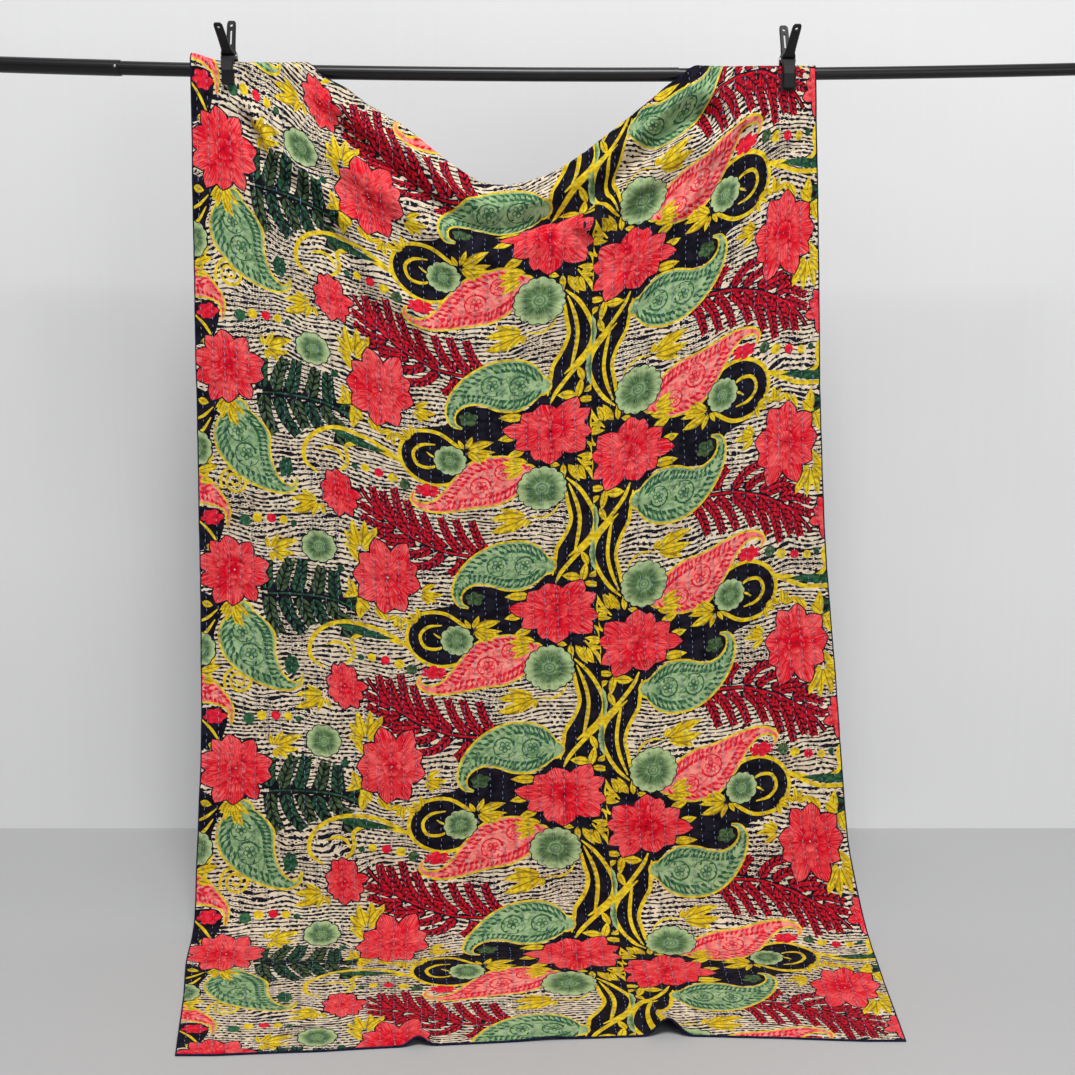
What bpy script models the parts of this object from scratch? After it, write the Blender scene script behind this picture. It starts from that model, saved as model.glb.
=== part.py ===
# Kantha quilt hung on a telescoping rod by two spring clamps. Metres, +Z up, the front faces -Y.
# The quilt goes over the rod at both ends, has slipped off it in the middle, and its foot lies on the floor.
import math

import bmesh
import bpy
import numpy as np
from mathutils import Matrix, Vector

# Cloth
clothWidth = 1.355
clothLength = 2.395
clothThick = 0.003
seatGap = 0.0007
rollRadius = 0.010

# Rod
rodY = 0.3073
rodHalf = 1.16
rodLowHeight = 1.7768
rodLowX = 0.17
rodBow = 0.0125
sleeveEnd = -0.845
middleEnd = 0.286
socketDepth = 0.06
sleeveRadius = 0.016
middleRadius = 0.014
rightRadius = 0.0125
rodSides = 24

# Air between separate parts
partGap = 0.0003

# Where the hem crosses the rod the cloth lies looser, and its top left corner stands up
crossingLooseness = 0.0015
cornerLift = 0.015
cornerWidth = 0.045

# Height that drops down the front are measured from
datumHeight = 1.79

# The front seen from the side: path down the cloth, distance in front of the rod, height
sideProfile = {
    "drop": (0.0, 1.09, 1.309, 1.494, 1.646, 1.752, 1.816, 1.867, 1.93, 2.60),
    "forward": (0.0, 0.0, 0.014, 0.044, 0.069, 0.104, 0.154, 0.204, 0.267, 0.937),
    "height": (1.79, 0.70, 0.483, 0.30, 0.15, 0.05, 0.012, 0.0015, 0.0015, 0.0015),
}
leftEdge = {
    "drop": (0.0, 0.22, 0.67, 1.09, 1.44, 1.69, 1.84, 2.08, 2.30),
    "x": (-0.700, -0.702, -0.709, -0.714, -0.7175, -0.725, -0.718, -0.674, -0.634),
}
rightEdge = {
    "drop": (0.0, 0.34, 0.67, 0.92, 1.29, 1.59, 1.81, 2.02, 2.25),
    "x": (0.5616, 0.575, 0.588, 0.6035, 0.637, 0.659, 0.69, 0.676, 0.659),
}

# The top fold, across the cloth: length turned over behind, and how far the free fold has sagged
tuck = {
    "across": (0, 0.07, 0.20, 0.2615, 0.299, 0.345, 0.414, 0.537, 0.62, 0.68, 0.78, 0.866,
               0.94, 1.00, 1.045, 1.0806, 1.126, 1.276, 1.355),
    "length": (0.125, 0.125, 0.075, 0.035, 0.008, 0.007, 0.045, 0.115, 0.165, 0.18, 0.18, 0.135,
               0.075, 0.012, 0.007, 0.030, 0.080, 0.155, 0.160),
}
sag = {
    "across": (0.299, 0.328, 0.361, 0.414, 0.4765, 0.5755, 0.633, 0.671, 0.728, 0.786, 0.866,
               0.948, 1.001, 1.045),
    "drop": (0.010, 0.0265, 0.043, 0.077, 0.1145, 0.1935, 0.2275, 0.2335, 0.2235, 0.1995, 0.144,
             0.0815, 0.042, 0.013),
}
# Each row is one line straight across the flat cloth: how far it hangs lower or higher than taut cloth
slackAcross = (0.07, 0.29, 0.40, 0.60, 0.76, 0.925, 1.28)
slackRows = (
    (0.70, (-0.096, -0.059, -0.024, 0.000, -0.013, -0.047, -0.139)),
    (1.13, (-0.0965, -0.077, -0.056, -0.050, -0.065, -0.072, -0.140)),
    (1.56, (-0.0995, -0.088, -0.080, -0.090, -0.100, -0.103, -0.142)),
    (2.00, (-0.103, -0.108, -0.121, -0.140, -0.160, -0.158, -0.150)),
    (2.395, (-0.103, -0.121, -0.132, -0.150, -0.165, -0.173, -0.153)),
)
upperLine = 0.30
upperSlack = (-0.099, -0.027, 0.014, 0.050, 0.022, -0.004, -0.137)

# Folds that stand forward of the hanging front, as ridges between two points (x, drop)
foldRidges = {
    "left clamp pleat": ((-0.605, 0.045), (-0.520, 0.190), 0.013, 0.010),
    "left clamp swell": ((-0.560, 0.050), (-0.330, 0.250), 0.040, 0.012),
    "left swag": ((-0.330, 0.200), (-0.060, 0.420), 0.045, 0.012),
    "right clamp pleat": ((0.470, 0.070), (0.330, 0.190), 0.016, 0.009),
    "right swag": ((0.400, 0.110), (0.110, 0.290), 0.026, 0.014),
    "right swag foot": ((0.110, 0.290), (-0.060, 0.360), 0.030, 0.012),
    "middle hollow edge": ((-0.120, 0.470), (0.180, 0.500), 0.028, 0.006),
    "trunk crease": ((-0.020, 0.850), (0.200, 0.870), 0.020, 0.005),
    "lower crease": ((0.050, 1.230), (0.240, 1.215), 0.018, 0.005),
    "left side swell": ((-0.640, 0.450), (-0.560, 1.300), 0.060, 0.007),
    "right side swell": ((0.520, 0.500), (0.580, 1.350), 0.055, 0.008),
}
swagDepth = 0.016
swagPitch = 0.125
swagFade = 0.13

# Bumps that lift off the floor: x at the hem, hem lift, half width, reach back from the hem, lean to +X
floorBumps = {
    "arch": (0.236, 0.034, 0.026, 0.20, -0.35),
    "pleat": (-0.212, 0.018, 0.018, 0.17, -0.20),
    "ripple": (0.020, 0.004, 0.045, 0.10, 0.0),
}

# Grid of the cloth
tailRows = 2
arcRows = 7
columnRuns = ((0, 0.045, 3), (0.066, 0.122, 3), (0.155, 0.190, 2), (0.222, 0.305, 12), (0.318, 0.405, 6),
              (0.44, 0.96, 12), (0.985, 1.028, 4), (1.040, 1.112, 11), (1.14, 1.23, 3), (1.262, 1.318, 3),
              (1.3365, 1.355, 2))
rowRuns = ((0.0, 0.038, 2), (0.08, 1.50, 20), (1.53, 1.95, 12), (2.02, 2.31, 5))

# Clamps: x, lean of the handles forward in degrees, twist in degrees, pad width, pad height
clampTable = {
    "left": (-0.624, 18.0, -15.0, 0.026, 0.032),
    "right": (0.506, 12.0, 16.0, 0.031, 0.037),
}
pivotAboveRod = 0.0275
pinRadius = 0.0047
pinLength = 0.034
handleLength = 0.074
handleSplay = 26.0
handleFoot = 0.0088
jawThick = 0.006
padThick = 0.0035
padMargin = 0.014
padBossRadius = 0.0045
padBossLength = 0.0017
padBossDrop = 0.018
padTop = 0.001
holeRadius = 0.0032
slotWidth = 0.0042
slotLength = 0.026


def clearScene():
    for item in list(bpy.data.objects):
        bpy.data.objects.remove(item, do_unlink=True)


def plainMaterial(name, colour, roughness, metallic=0.0):
    material = bpy.data.materials.new(name)
    material.use_nodes = True
    shader = material.node_tree.nodes["Principled BSDF"]
    shader.inputs["Base Color"].default_value = (*colour, 1.0)
    shader.inputs["Roughness"].default_value = roughness
    shader.inputs["Metallic"].default_value = metallic
    return material


def addObject(name, mesh, material):
    item = bpy.data.objects.new(name, mesh)
    bpy.context.collection.objects.link(item)
    mesh.materials.append(material)
    return item


def shadeSmooth(item, degrees=35.0):
    mesh = item.data
    mesh.shade_smooth()
    mesh.set_sharp_from_angle(angle=math.radians(degrees))


# Smooth curve through knots that never overshoots them. Knots and values may have one column for each
# point asked for.
def smoothThrough(at, knots, values):
    at = np.asarray(at, float)
    knots = np.asarray(knots, float)
    values = np.asarray(values, float)
    if knots.ndim == 1:
        knots = np.repeat(knots[:, None], at.size, 1)
    if values.ndim == 1:
        values = np.repeat(values[:, None], at.size, 1)
    steps = np.diff(values, axis=0) / np.diff(knots, axis=0)
    before, after = steps[:-1], steps[1:]
    together = before * after > 0
    slopes = np.zeros_like(values)
    slopes[1:-1] = np.where(together, 2 * before * after / np.where(together, before + after, 1.0), 0.0)
    slopes[0] = steps[0]
    slopes[-1] = steps[-1]
    index = (at[None, :] >= knots[1:-1]).sum(0)[None, :]
    startKnot = np.take_along_axis(knots, index, 0)[0]
    span = np.take_along_axis(knots, index + 1, 0)[0] - startKnot
    startValue = np.take_along_axis(values, index, 0)[0]
    endValue = np.take_along_axis(values, index + 1, 0)[0]
    startSlope = np.take_along_axis(slopes, index, 0)[0] * span
    endSlope = np.take_along_axis(slopes, index + 1, 0)[0] * span
    t = np.clip((at - startKnot) / span, 0.0, 1.0)
    return (
        (2 * t**3 - 3 * t**2 + 1) * startValue
        + (t**3 - 2 * t**2 + t) * startSlope
        + (3 * t**2 - 2 * t**3) * endValue
        + (t**3 - t**2) * endSlope
    )


def smoothStep(value, low, high):
    t = np.clip((value - low) / (high - low), 0.0, 1.0)
    return t * t * (3 - 2 * t)


def rodAxisHeight(x):
    return rodLowHeight + rodBow * (x - rodLowX) ** 2


# Radius of the rod that the cloth is seated on, eased over the step between two tubes
def seatRadius(x):
    return middleRadius + (rightRadius - middleRadius) * smoothStep(x, 0.288, 0.318)


# Share of the way from the left edge to the right one; the cloth is gathered a little at the clamps
def shareAcross(across, along):
    even = across / clothWidth
    return even - 0.02 * np.sin(2 * np.pi * even) * np.exp(-((along / 0.5) ** 2))


def edgeToEdge(share, drop):
    left = smoothThrough(drop, leftEdge["drop"], leftEdge["x"])
    right = smoothThrough(drop, rightEdge["drop"], rightEdge["x"])
    return left + (right - left) * share


def frontRelief(x, drop, across, foldDrop):
    relief = np.zeros_like(x)
    for (x0, d0), (x1, d1), width, height in foldRidges.values():
        run = np.hypot(x1 - x0, d1 - d0)
        ux, ud = (x1 - x0) / run, (d1 - d0) / run
        alongRidge = (x - x0) * ux + (drop - d0) * ud
        off = -(x - x0) * ud + (drop - d0) * ux
        over = np.maximum(np.maximum(-alongRidge, alongRidge - run), 0.0)
        relief += height * np.exp(-((off / width) ** 2) - (over / (0.6 * width + 0.02)) ** 2)
    below = np.maximum(drop - foldDrop, 0.0)
    window = smoothStep(across, 0.36, 0.50) * (1 - smoothStep(across, 0.88, 1.00))
    relief += swagDepth * window * (0.5 - 0.5 * np.cos(2 * np.pi * below / swagPitch)) * np.exp(-below / swagFade)
    relief += 0.0022 * (1 + np.sin(9.1 * x + 5.3 * drop + 1.0)) * smoothStep(below, 0.05, 0.3)
    relief += 0.0014 * (1 + np.sin(21.0 * x - 7.7 * drop)) * smoothStep(below, 0.05, 0.3)
    relief *= smoothStep(below, 0.02, 0.09)
    for clampX, _, _, padWidth, padTall in clampTable.values():
        besidePad = np.abs(x - clampX) - padWidth / 2
        belowPad = below - padTall
        relief *= smoothStep(np.hypot(np.maximum(besidePad, 0), np.maximum(belowPad, 0)), padMargin, 0.05)
    return relief


def floorLift(x, forward, hemForward):
    lift = np.zeros_like(x)
    back = np.maximum(hemForward - forward, 0.0)
    for hemX, height, width, reach, lean in floorBumps.values():
        ridgeX = hemX + lean * back
        fade = np.clip(1 - back / reach, 0.0, 1.0) ** 1.5
        bump = np.exp(-(((x - ridgeX) / width) ** 2)) - 0.02
        lift += height * fade * np.maximum(bump, 0.0)
    return lift


# The fold along the top of the cloth: over the rod at both ends, hanging free between them
def topFold(across):
    turned = smoothThrough(across, tuck["across"], tuck["length"])
    topX = edgeToEdge(shareAcross(across, turned), np.zeros_like(across))
    onRod = (across <= sag["across"][0]) | (across >= sag["across"][-1])
    loose = np.exp(-(((across - 0.265) / 0.04) ** 2)) + np.exp(-(((across - 1.072) / 0.04) ** 2))
    wrapRadius = seatRadius(topX) + seatGap + clothThick / 2 + crossingLooseness * loose
    crest = smoothThrough(across, sag["across"], sag["drop"])
    besideRod = 1 - smoothStep(crest + rodAxisHeight(topX) - datumHeight, 0.016, 0.030)
    radius = np.where(onRod, wrapRadius, rollRadius + 0.05 * besideRod)
    arcLength = np.minimum(np.pi * radius, 0.85 * turned)
    arcAngle = arcLength / radius
    freeDrop = crest + radius * np.sin(np.minimum(arcAngle, np.pi / 2))
    lift = cornerLift * np.exp(-((across / cornerWidth) ** 2))
    rodDrop = datumHeight - rodAxisHeight(topX) - lift
    foldDrop = np.where(onRod, rodDrop, freeDrop)
    return turned, arcLength, arcAngle, radius, wrapRadius, foldDrop


# Where the flat cloth's point (across, along) lies; along runs from the top hem down to the foot
def drape(across, along):
    across = np.asarray(across, float).ravel()
    along = np.asarray(along, float).ravel()
    turned, arcLength, arcAngle, radius, wrapRadius, foldDrop = topFold(across)

    knots = [turned, np.full_like(across, upperLine)]
    drops = [foldDrop, upperLine + smoothThrough(across, slackAcross, upperSlack)]
    for line, values in slackRows:
        knots.append(np.full_like(across, line))
        drops.append(line + smoothThrough(across, slackAcross, values))
    knots = np.array(knots)
    drops = np.array(drops)
    drop = smoothThrough(np.maximum(along, turned), knots, drops)
    hemDrop = drops[-1]

    x = edgeToEdge(shareAcross(across, np.maximum(along, turned)), np.maximum(drop, 0.0))
    forward = smoothThrough(drop, sideProfile["drop"], sideProfile["forward"])
    height = smoothThrough(drop, sideProfile["drop"], sideProfile["height"])
    hemForward = smoothThrough(hemDrop, sideProfile["drop"], sideProfile["forward"])
    steep = 1 - smoothStep(drop, 1.55, 1.80)
    forward = forward + frontRelief(x, drop, across, foldDrop) * steep
    height = np.where(drop < 0, datumHeight - drop, height)
    height = np.maximum(height, clothThick / 2) + floorLift(x, forward, hemForward)
    y = -wrapRadius - forward
    z = height

    # The part turned over behind: an arc back over the rod or the free fold, then a hanging tail
    behind = np.maximum(turned - along, 0.0)
    angle = np.minimum(behind, arcLength) / radius
    tail = np.maximum(behind - arcLength, 0.0)
    centreY = -wrapRadius + radius
    overY = centreY - radius * np.cos(angle) + tail * np.sin(arcAngle)
    overZ = datumHeight - foldDrop + radius * np.sin(angle) + tail * np.cos(arcAngle)
    isOver = along < turned
    y = np.where(isOver, overY, y)
    z = np.where(isOver, overZ, z)
    return np.stack([x, y + rodY, z], 1)


def gridNormals(points):
    acrossStep = np.gradient(points, axis=1)
    alongStep = np.gradient(points, axis=0)
    normals = np.cross(alongStep, acrossStep)
    return normals / np.linalg.norm(normals, axis=2, keepdims=True)


def clothColumns():
    runs = [np.linspace(start, end, count) for start, end, count in columnRuns]
    return np.concatenate(runs)


# Rows share the length turned over, then follow the same drops down the front in every column
def clothGrid():
    columns = clothColumns()
    turned, arcLength = topFold(columns)[:2]
    tail = turned - arcLength
    frontRows = np.concatenate([np.linspace(start, end, count) for start, end, count in rowRuns])
    frontShare = frontRows / frontRows[-1]
    rows = [tail * k / tailRows for k in range(tailRows)]
    rows += [tail + arcLength * k / arcRows for k in range(arcRows)]
    rows += [turned + (clothLength - turned) * share for share in frontShare]
    along = np.array(rows)
    across = np.broadcast_to(columns, along.shape)
    points = drape(across, along).reshape(*along.shape, 3)
    return points


def buildQuilt(material):
    points = clothGrid()
    normals = gridNormals(points)
    front = points + normals * clothThick / 2
    back = points - normals * clothThick / 2
    rows, columns = points.shape[:2]
    verts = np.concatenate([front.reshape(-1, 3), back.reshape(-1, 3)])
    verts[:, 2] = np.maximum(verts[:, 2], 0.0)
    frontIds = np.arange(rows * columns).reshape(rows, columns)
    backIds = frontIds + rows * columns
    faces = []
    for r in range(rows - 1):
        for c in range(columns - 1):
            faces.append((frontIds[r, c], frontIds[r + 1, c], frontIds[r + 1, c + 1], frontIds[r, c + 1]))
            faces.append((backIds[r, c], backIds[r, c + 1], backIds[r + 1, c + 1], backIds[r + 1, c]))
    for r in range(rows - 1):
        faces.append((frontIds[r + 1, 0], frontIds[r, 0], backIds[r, 0], backIds[r + 1, 0]))
        faces.append((frontIds[r, -1], frontIds[r + 1, -1], backIds[r + 1, -1], backIds[r, -1]))
    for c in range(columns - 1):
        faces.append((frontIds[0, c], frontIds[0, c + 1], backIds[0, c + 1], backIds[0, c]))
        faces.append((frontIds[-1, c + 1], frontIds[-1, c], backIds[-1, c], backIds[-1, c + 1]))
    mesh = bpy.data.meshes.new("quilt")
    mesh.from_pydata(verts.tolist(), [], [tuple(int(i) for i in face) for face in faces])
    item = addObject("quilt", mesh, material)
    shadeSmooth(item, 60.0)
    return item


# One ring of a tube, kept upright so that the end faces stay square to X
def tubeRing(mesh, x, radius):
    ring = []
    for side in range(rodSides):
        angle = 2 * math.pi * side / rodSides
        y = rodY + radius * math.cos(angle)
        z = rodAxisHeight(x) + radius * math.sin(angle)
        ring.append(mesh.verts.new((x, y, z)))
    return ring


def bridgeRings(mesh, rings):
    for first, second in zip(rings, rings[1:]):
        for side in range(rodSides):
            nextSide = (side + 1) % rodSides
            mesh.faces.new((first[side], first[nextSide], second[nextSide], second[side]))


# A tube from startX to endX, with a socket for the thinner tube bored into the end at endX
def buildTube(name, startX, endX, radius, boreRadius, material):
    mesh = bmesh.new()
    stations = np.linspace(startX, endX, 9)
    rings = [tubeRing(mesh, x, radius) for x in stations]
    if boreRadius:
        away = -1 if endX > startX else 1
        rings.append(tubeRing(mesh, endX, boreRadius))
        rings.append(tubeRing(mesh, endX + away * socketDepth, boreRadius))
    bridgeRings(mesh, rings)
    mesh.faces.new(rings[0])
    mesh.faces.new(rings[-1])
    bmesh.ops.recalc_face_normals(mesh, faces=mesh.faces)
    data = bpy.data.meshes.new(name)
    mesh.to_mesh(data)
    mesh.free()
    item = addObject(name, data, material)
    shadeSmooth(item)
    return item


def buildRod(material):
    reach = socketDepth - 0.002
    buildTube("rod_left_section", -rodHalf, sleeveEnd, sleeveRadius, middleRadius + partGap, material)
    buildTube("rod_middle_section", sleeveEnd - reach, middleEnd, middleRadius, rightRadius + partGap, material)
    buildTube("rod_right_section", middleEnd - reach, rodHalf, rightRadius, 0.0, material)


# Cross-section of a lever: a rectangle with cut corners
def sectionRing(mesh, centre, direction, width, thick):
    sideways = Vector((1, 0, 0))
    outward = sideways.cross(direction).normalized()
    cut = 0.28 * min(width, thick)
    corners = [(width / 2 - cut, thick / 2), (width / 2, thick / 2 - cut)]
    outline = corners + [(x, -y) for x, y in reversed(corners)]
    outline += [(-x, -y) for x, y in corners] + [(-x, y) for x, y in reversed(corners)]
    return [mesh.verts.new(centre + sideways * x + outward * y) for x, y in outline]


def loft(name, stations, material):
    mesh = bmesh.new()
    centres = [Vector(station[0]) for station in stations]
    rings = []
    for k, (centre, width, thick) in enumerate(stations):
        before = centres[max(k - 1, 0)]
        after = centres[min(k + 1, len(centres) - 1)]
        direction = after - before
        direction.x = 0
        rings.append(sectionRing(mesh, Vector(centre), direction.normalized(), width, thick))
    for first, second in zip(rings, rings[1:]):
        count = len(first)
        for side in range(count):
            nextSide = (side + 1) % count
            mesh.faces.new((first[side], first[nextSide], second[nextSide], second[side]))
    mesh.faces.new(rings[0])
    mesh.faces.new(rings[-1])
    bmesh.ops.recalc_face_normals(mesh, faces=mesh.faces)
    data = bpy.data.meshes.new(name)
    mesh.to_mesh(data)
    mesh.free()
    item = addObject(name, data, material)
    shadeSmooth(item, 40.0)
    return item


def hideCutter(cutter):
    cutter.hide_render = True
    cutter.display_type = "WIRE"


def cutThrough(item, cutter):
    hideCutter(cutter)
    cut = item.modifiers.new("cut", "BOOLEAN")
    cut.operation = "DIFFERENCE"
    cut.solver = "EXACT"
    cut.object = cutter


# A round-ended prism across a handle: a plain hole when its length is zero
def prismCutter(name, centre, normal, lengthways, radius, length):
    mesh = bmesh.new()
    sides = 16
    sideways = Vector((1, 0, 0))
    rings = []
    for end in (-0.02, 0.02):
        ring = []
        for k in range(sides):
            angle = 2 * math.pi * (k + 0.5) / sides
            shift = math.copysign(length / 2, math.sin(angle))
            offset = sideways * radius * math.cos(angle) + lengthways * (radius * math.sin(angle) + shift)
            ring.append(mesh.verts.new(centre + offset + normal * end))
        rings.append(ring)
    for side in range(sides):
        nextSide = (side + 1) % sides
        mesh.faces.new((rings[0][side], rings[0][nextSide], rings[1][nextSide], rings[1][side]))
    mesh.faces.new(rings[0])
    mesh.faces.new(rings[1])
    bmesh.ops.recalc_face_normals(mesh, faces=mesh.faces)
    data = bpy.data.meshes.new(name)
    mesh.to_mesh(data)
    mesh.free()
    cutter = bpy.data.objects.new(name, data)
    bpy.context.collection.objects.link(cutter)
    return cutter


# One lever of a clamp; facing is -1 for the front one and 1 for the back one
def buildLever(name, x, axisHeight, grip, facing, lean, twist, material):
    splay = math.radians(handleSplay - facing * lean)
    twistShare = math.tan(math.radians(twist))
    jawY = grip + padThick + padBossLength + 2 * partGap + jawThick / 2

    def place(out, up):
        sideways = -facing * twistShare * max(up - pivotAboveRod, 0.0) * math.sin(splay)
        return (x + sideways, rodY + facing * out, axisHeight + up)

    def onHandle(distance):
        return place(handleFoot + distance * math.sin(splay), pivotAboveRod + distance * math.cos(splay))

    stations = [
        (onHandle(handleLength), 0.0115, 0.0035),
        (onHandle(handleLength - 0.003), 0.0165, 0.0055),
        (onHandle(handleLength - 0.009), 0.0180, 0.0060),
        (onHandle(0.055), 0.0182, 0.0060),
        (onHandle(0.030), 0.0190, 0.0060),
        (onHandle(0.014), 0.0205, 0.0065),
        (onHandle(0.007), 0.0270, 0.0075),
        (place(handleFoot, pivotAboveRod), 0.0290, 0.0080),
        (place(jawY - 0.0095, pivotAboveRod - 0.0055), 0.0285, 0.0075),
        (place(jawY - 0.0018, 0.0115), 0.0240, 0.0065),
        (place(jawY + 0.0012, -0.004), 0.0225, 0.0060),
        (place(jawY, -0.018), 0.0225, 0.0060),
        (place(jawY, -0.030), 0.0215, 0.0055),
        (place(jawY, -0.032), 0.0180, 0.0035),
    ]
    lever = loft(name, stations, material)
    low = Vector(onHandle(0.02))
    high = Vector(onHandle(0.07))
    lengthways = (high - low).normalized()
    normal = Vector((1, 0, 0)).cross(lengthways).normalized()
    hole = prismCutter(name + "_hole_cutter", Vector(onHandle(handleLength - 0.0095)), normal, lengthways,
                       holeRadius, 0.0)
    cutThrough(lever, hole)
    if facing > 0:
        slot = prismCutter(name + "_slot_cutter", Vector(onHandle(0.040)), normal, lengthways,
                           slotWidth / 2, slotLength)
        cutThrough(lever, slot)
    return lever


def buildPin(name, x, axisHeight, material):
    bpy.ops.mesh.primitive_cylinder_add(
        vertices=16,
        radius=pinRadius,
        depth=pinLength,
        location=(x, rodY, axisHeight + pivotAboveRod),
        rotation=(0, math.pi / 2, 0),
    )
    pin = bpy.context.object
    pin.name = name
    pin.data.materials.append(material)
    shadeSmooth(pin)


# A flat pad against the cloth with the round boss that its jaw bears on
def buildPad(name, x, axisHeight, grip, facing, width, tall, material):
    innerFace = grip + partGap
    centre = (x, rodY + facing * (innerFace + padThick / 2), axisHeight + padTop - tall / 2)
    block = Matrix.Translation(centre) @ Matrix.Diagonal((width, padThick, tall, 1.0))
    mesh = bmesh.new()
    bmesh.ops.create_cube(mesh, size=1.0, matrix=block)
    corners = [e for e in mesh.edges if abs((e.verts[0].co - e.verts[1].co).normalized().y) > 0.9]
    bmesh.ops.bevel(mesh, geom=corners, offset=0.004, segments=3, profile=0.5, affect="EDGES")
    data = bpy.data.meshes.new(name)
    mesh.to_mesh(data)
    mesh.free()
    pad = addObject(name, data, material)

    bossRoot = 0.0005
    bossMiddle = innerFace + padThick + (padBossLength - bossRoot) / 2
    bpy.ops.mesh.primitive_cylinder_add(
        vertices=12,
        radius=padBossRadius,
        depth=padBossLength + bossRoot,
        location=(x, rodY + facing * bossMiddle, axisHeight - padBossDrop),
        rotation=(math.pi / 2, 0, 0),
    )
    boss = bpy.context.object
    boss.name = name + "_boss_cutter"
    hideCutter(boss)
    join = pad.modifiers.new("boss", "BOOLEAN")
    join.operation = "UNION"
    join.solver = "EXACT"
    join.object = boss
    shadeSmooth(pad)


def buildClamp(side, leverMaterial, padMaterial, pinMaterial):
    x, lean, twist, padWidth, padTall = clampTable[side]
    axisHeight = rodAxisHeight(x)
    grip = float(seatRadius(np.array([x]))[0]) + seatGap + clothThick
    prefix = "clamp_" + side
    for label, facing in (("front", -1), ("back", 1)):
        buildLever(f"{prefix}_{label}_lever", x, axisHeight, grip, facing, lean, twist, leverMaterial)
        buildPad(f"{prefix}_{label}_pad", x, axisHeight, grip, facing, padWidth, padTall, padMaterial)
    buildPin(prefix + "_pivot_pin", x, axisHeight, pinMaterial)


clearScene()
quiltMaterial = plainMaterial("printed cotton", (0.55, 0.25, 0.18), 0.85)
rodMaterial = plainMaterial("black painted steel", (0.015, 0.015, 0.017), 0.35, 0.4)
leverMaterial = plainMaterial("black nylon", (0.012, 0.012, 0.014), 0.4)
padMaterial = plainMaterial("black rubber", (0.02, 0.02, 0.02), 0.75)
pinMaterial = plainMaterial("steel pin", (0.35, 0.35, 0.36), 0.35, 1.0)
buildQuilt(quiltMaterial)
buildRod(rodMaterial)
for clampSide in clampTable:
    buildClamp(clampSide, leverMaterial, padMaterial, pinMaterial)
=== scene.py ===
# Kantha quilt hung over a rod by two spring clamps: the finished look. Metres, +Z up, the print faces -Y.
import math

import bpy
import numpy as np
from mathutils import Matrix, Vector
from mathutils.geometry import delaunay_2d_cdt


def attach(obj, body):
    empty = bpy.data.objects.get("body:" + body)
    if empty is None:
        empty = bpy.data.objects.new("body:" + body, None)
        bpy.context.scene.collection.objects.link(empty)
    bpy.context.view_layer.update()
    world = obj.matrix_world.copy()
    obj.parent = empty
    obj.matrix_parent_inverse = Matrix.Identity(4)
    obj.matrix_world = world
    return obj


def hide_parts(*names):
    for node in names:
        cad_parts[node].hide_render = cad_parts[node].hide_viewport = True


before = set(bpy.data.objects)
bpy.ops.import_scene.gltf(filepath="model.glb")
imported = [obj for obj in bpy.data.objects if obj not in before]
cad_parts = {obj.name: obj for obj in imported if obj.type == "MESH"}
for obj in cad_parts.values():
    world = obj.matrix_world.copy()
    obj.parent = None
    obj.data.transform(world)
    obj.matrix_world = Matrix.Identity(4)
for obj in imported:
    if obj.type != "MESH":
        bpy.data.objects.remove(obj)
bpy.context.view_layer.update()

# The quilt's flat size and the way it hangs
clothWidth = 1.355
clothLength = 2.395
clothThick = 0.003
seatGap = 0.0007

# Rod
rodY = 0.3073
rodLowHeight = 1.7768
rodLowX = 0.17
rodBow = 0.0125
middleRadius = 0.014
rightRadius = 0.0125
tubeStep = (0.288, 0.318)

# Along the hem: where it crosses the rod and lies looser, the lifted top left corner, and the roll of the
# free fold, which is wider close to the rod
hem = {
    "crossings": (0.265, 1.072), "reach": 0.04, "looseness": 0.0015,
    "cornerLift": 0.015, "cornerWidth": 0.045,
    "roll": 0.010, "rollBesideRod": 0.05, "besideRod": (0.016, 0.030), "wrapShare": 0.85,
}

# Height that drops down the front are measured from, and the drops between which the front bends to the floor
datumHeight = 1.79
footBend = (1.55, 1.80)

# The front seen from the side: path down the cloth, distance in front of the rod, height
sideProfile = {
    "drop": (0.0, 1.09, 1.309, 1.494, 1.646, 1.752, 1.816, 1.867, 1.93, 2.60),
    "forward": (0.0, 0.0, 0.014, 0.044, 0.069, 0.104, 0.154, 0.204, 0.267, 0.937),
    "height": (1.79, 0.70, 0.483, 0.30, 0.15, 0.05, 0.012, 0.0015, 0.0015, 0.0015),
}
leftEdge = {
    "drop": (0.0, 0.22, 0.67, 1.09, 1.44, 1.69, 1.84, 2.08, 2.30),
    "x": (-0.700, -0.702, -0.709, -0.714, -0.7175, -0.725, -0.718, -0.674, -0.634),
}
rightEdge = {
    "drop": (0.0, 0.34, 0.67, 0.92, 1.29, 1.59, 1.81, 2.02, 2.25),
    "x": (0.5616, 0.575, 0.588, 0.6035, 0.637, 0.659, 0.69, 0.676, 0.659),
}

# The top fold, across the cloth: length turned over behind, and how far the free fold has sagged
tuck = {
    "across": (0, 0.07, 0.20, 0.2615, 0.299, 0.345, 0.414, 0.537, 0.62, 0.68, 0.78, 0.866,
               0.94, 1.00, 1.045, 1.0806, 1.126, 1.276, 1.355),
    "length": (0.125, 0.125, 0.075, 0.035, 0.008, 0.007, 0.045, 0.115, 0.165, 0.18, 0.18, 0.135,
               0.075, 0.012, 0.007, 0.030, 0.080, 0.155, 0.160),
}
sag = {
    "across": (0.299, 0.328, 0.361, 0.414, 0.4765, 0.5755, 0.633, 0.671, 0.728, 0.786, 0.866,
               0.948, 1.001, 1.045),
    "drop": (0.010, 0.0265, 0.043, 0.077, 0.1145, 0.1935, 0.2275, 0.2335, 0.2235, 0.1995, 0.144,
             0.0815, 0.042, 0.013),
}
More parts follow.
